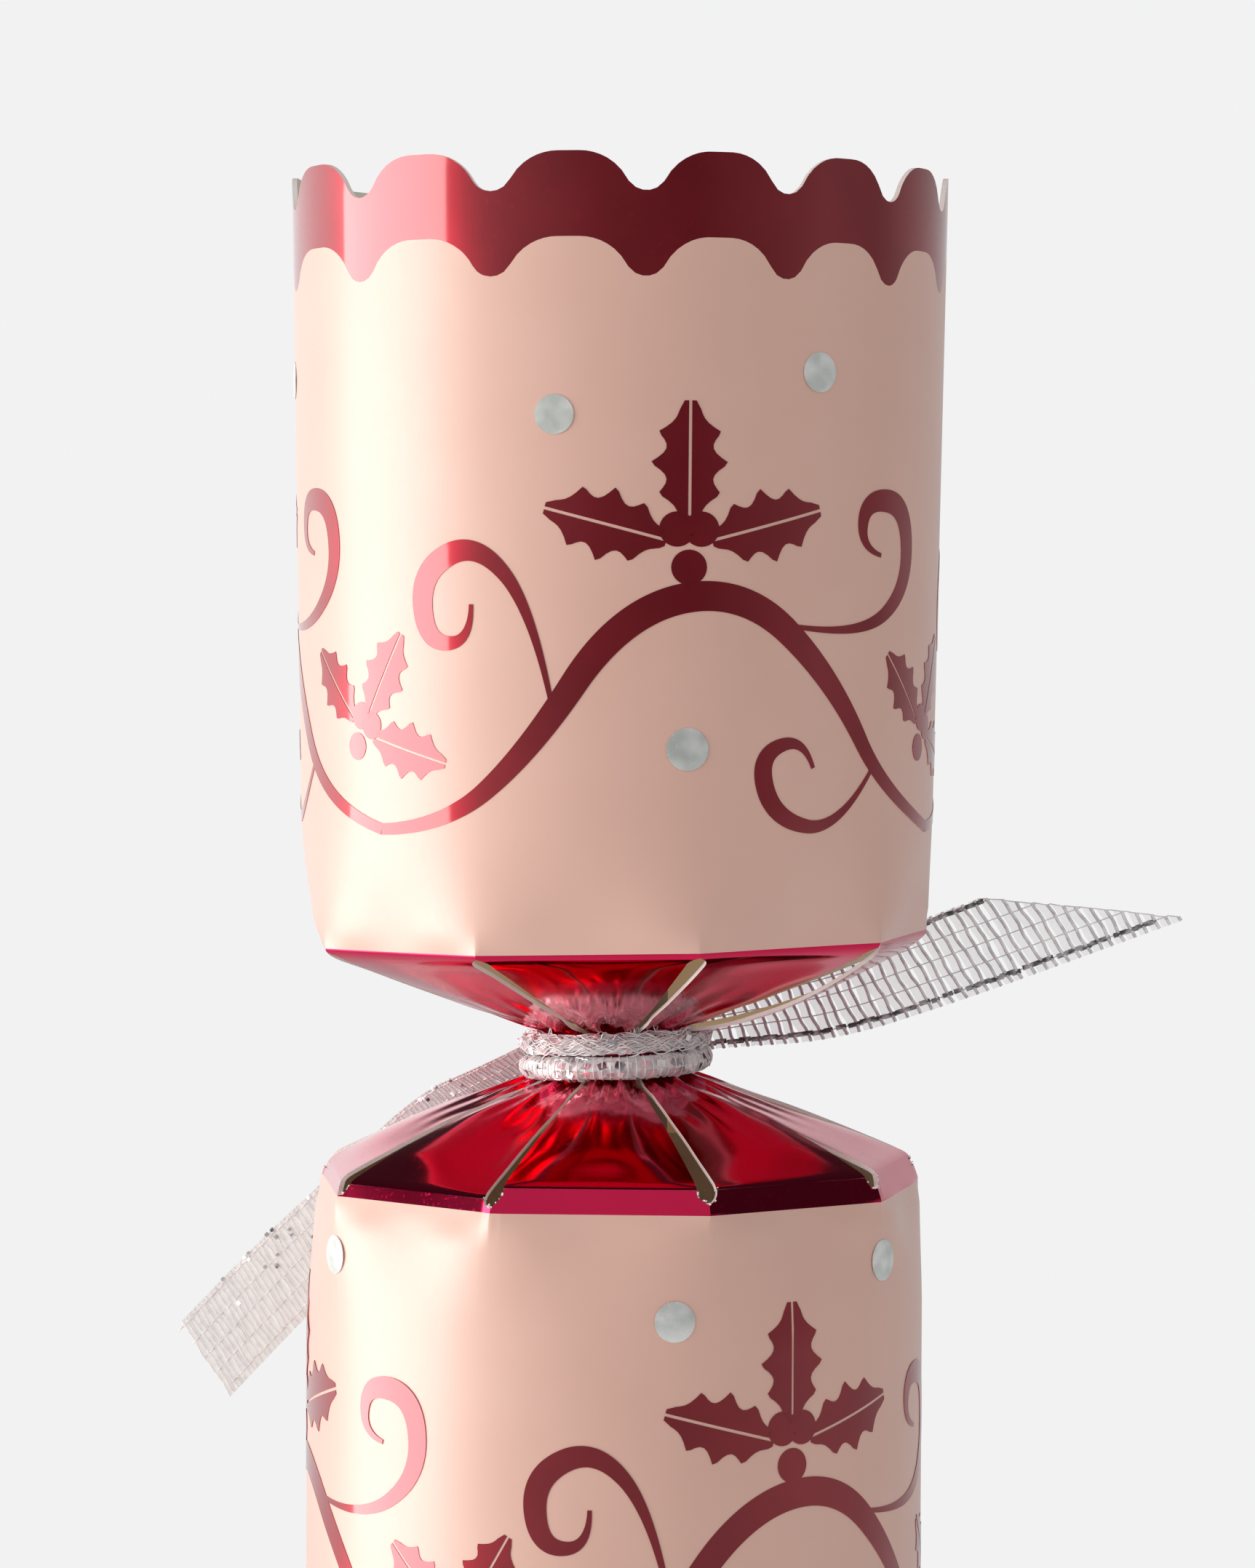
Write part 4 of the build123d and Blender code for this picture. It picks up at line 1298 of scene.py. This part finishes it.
def make_knot(name, body, node, choke_z, tie_turn, flake, seed):
    """The knot at the back: the ribbon drawn tight over the winding in upright pleats."""
    angle = seam_angle + tie_turn
    outward = np.array([cos(angle), sin(angle), 0.0])
    sideways = np.array([-sin(angle), cos(angle), 0.0])
    line = np.repeat([outward * (winding_radius + knot_depth / 2)], knot_rows, axis=0)
    line[:, 2] = choke_z + np.linspace(-1, 1, knot_rows) * knot_height / 2

    def outline(share, angles):
        swell = sqrt(max(1 - (2 * share - 1) ** 4, 0.02))
        pleats = 1 + knot_folds[0] * np.cos(knot_folds[1] * angles) * swell
        return knot_depth / 2 * swell * pleats, knot_width / 2 * (0.75 + 0.25 * swell) * swell * pleats

    shells = Shells()
    directions = (np.repeat([way], knot_rows, axis=0) for way in (outward, sideways))
    grid = bundle(shells, line, *directions, outline)
    place(shells.piece(name, [silver_thread], 60.0), body, "ribbon", node)
    seen = grid[3:-3:2]
    middle = seen.mean(axis=1, keepdims=True)
    facing = (seen - middle) / np.linalg.norm(seen - middle, axis=-1, keepdims=True)
    outer = (facing @ outward) > -0.2
    glints = set_shapes(
        f"{name}_glints", flake, seen[outer], facing[outer],
        np.repeat([upright], outer.sum(), axis=0), painted_glint_finish, 0.35, 0.3, seed,
    )
    place(glints, body, "ribbon")


# Printed design
# A garland runs round each tube: a wavy vine with curled tendrils, holly sprigs and silver dots.
# Its repeat is drawn flat, in millimetres along the wall and up it.
garland_repeats = 3
garland_rows = 46.0  # from one garland on the barrel to the next
print_lift = 0.05
half_repeat = 26.18
vine_pen = (2.3, 0.9)  # thick and thin
vine = [
    (-half_repeat, 3.0), (-20.0, 3.2), (-13.0, 9.0), (-6.0, 20.0), (3.0, 22.0), (11.0, 15.0), (18.0, 5.0),
    (half_repeat, 3.0),
]
tendril_thin = 0.35
tendrils = [  # thickest width, points from the vine to the curl
    (1.9, [(-11, 12), (-12.5, 20), (-17, 25.5), (-22, 23), (-21.5, 17.5), (-17.5, 17.5), (-17.5, 20.5)]),
    (1.9, [(7, 19), (14, 18), (20.5, 22), (20, 28.5), (14.5, 29), (14, 25), (16.5, 24.5)]),
    (1.5, [(16, 8), (12, 3), (6, 4), (4.5, 9), (8.5, 10.5), (9.5, 8)]),
]
sprigs = [(-1.0, 25.0, 90.0, 1.0), (24.0, 10.5, 60.0, 0.8)]  # place, lean in degrees, size
leaf_length = 9.5
leaf_half_width = 2.9
leaf_midrib = 0.12  # half of the bare line along a leaf
leaf_points = 4  # along each edge
leaf_notch = 0.4  # share of the half width that is cut in between them
sprig_hub = 1.6  # from the middle of a sprig to its leaves and berries
berry_radius = 1.35
dots = [(-11.0, 35.0), (9.5, 38.5), (-1.0, 9.5)]
dot_diameter = 3.3
dot_dome = (0.05, 0.05, 0.045, 0.02)  # height from the middle to the edge
dot_root = 0.06  # below the printed surface


def garland_places():
    """Where the garland is printed: the tube, the angle of its middle and the level of its base."""
    places = []
    rows = [(upper_end, upper_fold_z + 6.0, 0.12), (lower_end, lower_fold_z - 52.0, 0.55)]
    rows += [(barrel, barrel_bottom_z + 4.0 + row * garland_rows, 0.3 + 0.5 * row) for row in range(3)]
    for tube, base, shift in rows:
        for repeat in range(garland_repeats):
            places.append((tube, -pi / 2 + (repeat + shift) * 2 * pi / garland_repeats, base))
    return places


def stroke(points, thick, thin):
    """A thick-and-thin pen line through control points, as a flat grid."""
    line = nurbs_line([(x, y, 0.0) for x, y in points])[:, :2]
    share = np.linspace(0, 1, len(line))
    way = np.gradient(line, axis=0)
    way /= np.linalg.norm(way, axis=1)[:, None]
    half = (thin + (thick - thin) * np.sin(pi * share) ** 1.3) / 2
    side = np.stack([-way[:, 1], way[:, 0]], axis=1) * half[:, None]
    return line[:, None] + side[:, None] * np.linspace(-1, 1, 5)[None, :, None]


def half_leaf(side):
    """Half a holly leaf along X, with points on its edge and a bare midrib."""
    share = np.linspace(0.02, 1, 29)
    belly = leaf_half_width * np.sin(pi * np.clip(share, 0, 0.985)) ** 0.7
    edge = belly * (1 - leaf_notch * np.abs(np.sin(leaf_points * pi * share))) + 0.1
    across = leaf_midrib + np.linspace(0, 1, 5)[None] * (edge - leaf_midrib).clip(0.02)[:, None]
    return np.stack([np.broadcast_to(share[:, None] * leaf_length, across.shape), side * across], axis=-1)


def disc(radius):
    """A flat disc as rings of points."""
    rings = radius * np.array([0.02, 0.4, 0.75, 1.0])[:, None]
    angles = np.linspace(0, 2 * pi, 29)[:-1][None]
    return np.stack([rings * np.cos(angles), rings * np.sin(angles)], axis=-1)


def turned_flat(grid, x, y, angle, size):
    """A flat grid turned, scaled and moved to its place."""
    grown = grid * size
    turned_x = grown[..., 0] * cos(angle) - grown[..., 1] * sin(angle)
    turned_y = grown[..., 0] * sin(angle) + grown[..., 1] * cos(angle)
    return np.stack([turned_x + x, turned_y + y], axis=-1)


def garland_shapes():
    """The flat shapes of one repeat, each with whether it is closed round."""
    shapes = [(stroke(vine, *vine_pen), False)]
    shapes += [(stroke(points, thick, tendril_thin), False) for thick, points in tendrils]
    for x, y, lean, size in sprigs:
        for leaf_turn in (-75, 0, 75):
            angle = radians(lean + leaf_turn)
            for side in (1, -1):
                leaf = half_leaf(side) + np.array([sprig_hub, 0.0])
                shapes.append((turned_flat(leaf, x, y, angle, size), False))
        for berry_turn in (-35, 35, 180):
            angle = radians(lean + berry_turn)
            berry_x = x + sprig_hub * size * cos(angle)
            berry_y = y + sprig_hub * size * sin(angle)
            shapes.append((turned_flat(disc(berry_radius), berry_x, berry_y, 0.0, size), True))
    return shapes


def make_print():
    """The burgundy garlands as thin prints on the wrappers."""
    shells = {tube.body: Shells() for tube in (upper_end, barrel, lower_end)}
    shapes = garland_shapes()
    for tube, middle, base in garland_places():
        for grid, closed in shapes:
            angle = middle + grid[..., 0] / barrel_radius
            level = base + grid[..., 1]
            outer = tube.point(angle, level, print_lift)
            inner = tube.point(angle, level, -print_lift)
            if closed:
                shells[tube.body].add_bar(np.concatenate([outer, inner[::-1]]))
            else:
                shells[tube.body].add(outer, inner)
    for body, gathered in shells.items():
        place(gathered.piece(f"{body}_garland", [burgundy_print]), body, "printed_card")


def make_dots():
    """Silver foil dots set on the wrappers."""
    grid = disc(dot_diameter / 2)
    dome = np.array(dot_dome)[:, None] * np.ones((1, grid.shape[1]))
    outer = np.concatenate([grid, dome[..., None]], axis=-1)
    inner = np.concatenate([grid, np.full(grid.shape[:2] + (1,), -dot_root)], axis=-1)
    shells = Shells()
    shells.add_bar(np.concatenate([outer, inner[::-1]]))
    shape = shells.piece("dot", [silver_foil])
    for tube in (upper_end, barrel, lower_end):
        spots = [(middle + x / barrel_radius, base + y)
                 for owner, middle, base in garland_places() if owner is tube for x, y in dots]
        angle, level = (np.array(values) for values in zip(*spots))
        facing = np.stack([np.cos(angle), np.sin(angle), np.zeros_like(angle)], axis=1)
        upward = np.repeat([upright], len(angle), axis=0)
        made = set_shapes(
            f"{tube.body}_dots", shape, tube.point(angle, level, print_lift), facing, upward, silver_foil,
            0.0, 0.1, 1,
        )
        place(made, tube.body, "printed_card")
    bpy.data.objects.remove(shape)


# Contents of the barrel
hat_turns = 3.4
hat_layer = 1.2  # from one turn of the roll to the next
hat_margin = 0.45  # inside the space that the roll takes up
hat_points = 9.0  # height of the crown's points
points_per_turn = 1.7
hat_crinkle = (0.13, 0.1)  # height of the upright and level crinkles
tissue_thickness = 0.22


def make_hat():
    """The tissue crown, rolled up: a crinkled spiral whose pointed edge shows at its top."""
    low, high = (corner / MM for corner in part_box("paper_hat"))
    axis = (low + high) / 2
    turns = np.linspace(0, hat_turns, 130)
    reach = (high.x - low.x) / 2 - hat_margin - hat_layer * (hat_turns - turns)
    height = np.linspace(0, 1, 60)[:, None]
    spiral = 2 * pi * turns[None]
    crinkle = hat_crinkle[0] * np.sin(37 * turns[None] + 9 * height)
    crinkle = crinkle + hat_crinkle[1] * np.sin(23 * height * (1 + 0.1 * turns[None]) * pi)
    points_top = hat_points * np.abs((turns[None] * points_per_turn) % 1 - 0.5)
    level = low.z + height * (high.z - low.z - points_top)
    layers = []
    for depth in (0.0, tissue_thickness):
        radius = reach[None] + crinkle - depth
        x = axis.x + radius * np.cos(spiral)
        y = axis.y + radius * np.sin(spiral)
        layers.append(np.stack([x, y, level], axis=-1))
    shells = Shells()
    shells.add(*layers)
    place(shells.piece("rolled_hat", [tissue], 60.0), "paper_hat", "tissue", "paper_hat")


def finish_inner_pieces():
    """Finishes of the pieces that keep their own solids."""
    for node, finish in {
        "upper_end_liner": liner_grey,
        "lower_end_liner": liner_grey,
        "barrel_core": core_board,
        "snap_upper_strip": snap_board,
        "snap_lower_strip": snap_board,
        "snap_charge": charge_paste,
        "snap_sleeve": snap_paper,
        "motto_slip": motto_paper,
        "spinning_top": wood,
    }.items():
        for slot in frame["nodes"][node].material_slots:
            slot.material = finish


# Stage


def make_camera():
    view = bpy.data.cameras.new("camera")
    view.lens = camera_lens
    view.clip_start = 0.01
    camera = new_object("camera", view)
    turn = Matrix.Rotation(pi / 2 + camera_pitch, 4, "X") @ Matrix.Rotation(camera_roll, 4, "Z")
    camera.matrix_world = Matrix.Translation(Vector(camera_place) * MM) @ turn
    bpy.context.scene.camera = camera


def make_floor():
    """A pale round floor that fades out at its rim."""
    radius = 0.9
    work = bmesh.new()
    bmesh.ops.create_circle(work, cap_ends=True, segments=96, radius=radius)
    mesh = bpy.data.meshes.new("floor")
    work.to_mesh(mesh)
    work.free()
    material, sheet, shader = new_finish("pale_floor", Roughness=0.8)
    where = sheet.add("ShaderNodeTexCoord").outputs["Object"]
    reach = sheet.add("ShaderNodeVectorMath", {0: where}, operation="LENGTH").outputs["Value"]
    sheet.feed(shader, Base_Color=sheet.ramp(sheet.noise(6.0), [(0.3, grey(0.84)), (0.7, grey(0.87))]))
    clear = sheet.add("ShaderNodeBsdfTransparent")
    fade = sheet.spread(reach, 0.25 * radius, 0.7 * radius, 0.0, 1.0)
    blend = sheet.add("ShaderNodeMixShader", {0: fade, 1: shader, 2: clear})
    sheet.feed(sheet.tree.get_output_node("ALL"), Surface=blend.outputs["Shader"])
    mesh.materials.append(material)
    new_object("floor", mesh)


def make_studio():
    """A white studio, as shiny surfaces show it: pale behind and to the left, dark on the camera's side and
    above, with a pale panel high in front and a grey floor. All else gets a dim even light."""
    world = bpy.data.worlds.new("studio")
    world.use_nodes = True
    sheet = Sheet(world.node_tree)
    sheet.tree.nodes.clear()
    way = sheet.add("ShaderNodeTexCoord").outputs["Generated"]
    parts = sheet.add("ShaderNodeSeparateXYZ", {"Vector": way})
    turn = sheet.math("ARCTAN2", parts.outputs["X"], sheet.math("MULTIPLY", parts.outputs["Y"], -1.0))
    share = sheet.spread(turn, -pi, pi, 0.0, 1.0)
    around = sheet.ramp(share, [
        (0.0, grey(0.95)), (0.16, grey(1.1)), (0.34, grey(0.5)), (0.4, grey(0.3)), (0.48, grey(0.12)),
        (0.57, grey(0.07)), (0.65, grey(0.17)), (0.71, grey(0.28)), (0.78, grey(0.2)), (0.9, grey(0.45)),
        (0.985, grey(0.65)), (1.0, grey(0.95)),
    ])
    height = parts.outputs["Z"]
    above = sheet.spread(height, 0.24, 0.36, 0.0, 1.0)
    below = sheet.spread(height, -0.05, -0.3, 0.0, 1.0)
    front = sheet.ramp(share, [(0.33, grey(0.0)), (0.39, grey(1.0)), (0.6, grey(1.0)), (0.66, grey(0.0))])
    under_top = sheet.spread(height, 0.68, 0.64, 0.0, 1.0)
    over_foot = sheet.spread(height, 0.24, 0.3, 0.0, 1.0)
    panel = sheet.math("MULTIPLY", sheet.math("MULTIPLY", front, over_foot), under_top)
    upper = sheet.mix(panel, sheet.mix(above, around, grey(0.04)), grey(0.55))
    mirrored = sheet.mix(below, upper, grey(0.5))
    rays = sheet.add("ShaderNodeLightPath")
    backdrop = sheet.mix(rays.outputs["Is Camera Ray"], grey(0.55), linear("F2F2F3"))
    shiny = sheet.math("MAXIMUM", rays.outputs["Is Glossy Ray"], rays.outputs["Is Transmission Ray"])
    light = sheet.mix(shiny, backdrop, mirrored)
    back = sheet.add("ShaderNodeBackground", {"Color": light, "Strength": 1.0})
    sheet.add("ShaderNodeOutputWorld", {"Surface": back})
    bpy.context.scene.world = world


warm_white = (1.0, 0.97, 0.92)


def make_light(name, turn, distance, height, size, power, mirrored=True):
    """A soft box that faces the cracker; turn is its direction from the camera's side, to the right.
    Shiny surfaces show it if it is mirrored."""
    lamp = bpy.data.lights.new(name, "AREA")
    lamp.shape = "RECTANGLE"
    lamp.size, lamp.size_y = size
    lamp.energy = power
    lamp.color = warm_white
    made = new_object(name, lamp)
    target = Vector((0, 0, 0.2))
    made.location = (distance * sin(turn), -distance * cos(turn), height)
    made.rotation_euler = (target - made.location).to_track_quat("-Z", "Y").to_euler()
    made.visible_camera = False
    made.visible_glossy = mirrored


make_camera()
make_floor()
make_studio()
make_light("key_box", radians(-86), 0.8, 0.16, (0.74, 0.62), 6.3)
make_light("front_fill", radians(-46), 1.3, 0.45, (1.0, 1.2), 3.7, False)
make_light("right_fill", radians(72), 1.0, 0.25, (0.6, 0.8), 0.55, False)
make_wraps()
flake = small_bit("flake", 0.36, 0.3, 0.05 * (1 - np.linspace(-1, 1, 4) ** 2), film_thickness, painted_glint_finish)
for name, choke_z, outward, tube, seed in [
    ("upper", upper_choke_z, 1, upper_end, 3),
    ("lower", lower_choke_z, -1, lower_end, 5),
]:
    fold_z = tube.folds[0][0]
    barrel_fold_z = barrel_top_z if outward > 0 else barrel_bottom_z
    make_neck_strips(
        f"{name}_end_foil", tube.body, f"{name}_end_neck_strips", choke_z, outward, tube,
        abs(fold_z - choke_z), seed,
    )
    make_neck_strips(
        f"barrel_{name}_foil", "barrel", f"barrel_{name}_neck_strips", choke_z, -outward, barrel,
        abs(barrel_fold_z - choke_z), seed + 1,
    )
    make_torn_fibres(barrel_fold_z, -outward, seed + 2)
    tie_turn = 0.0 if outward > 0 else lower_tie_turn
    band_z = choke_z - outward * tie_shift
    tie = f"{name}_tie"
    tie_body = body_with(f"{tie}_winding")
    right = Tail(choke_z, tie_turn, 1, right_tail, (right_cut_upper, right_cut_tip))
    left = Tail(choke_z, tie_turn, -1, left_tail, None)
    make_tail(f"{tie}_right_ribbon", tie_body, f"{tie}_right_tail", right, dark_face, seed + 11)
    make_tail(f"{tie}_left_ribbon", tie_body, f"{tie}_left_tail", left, pale_painted_lit_face, seed + 12)
    make_winding(f"{tie}_band", tie_body, f"{tie}_winding", band_z, tie_turn, flake, seed + 13)
    make_knot(f"{tie}_pleats", tie_body, f"{tie}_knot", band_z, tie_turn, flake, seed + 14)
bpy.data.objects.remove(flake)
make_print()
make_dots()
make_hat()
finish_inner_pieces()

scene = bpy.context.scene
scene.view_settings.view_transform = "Standard"
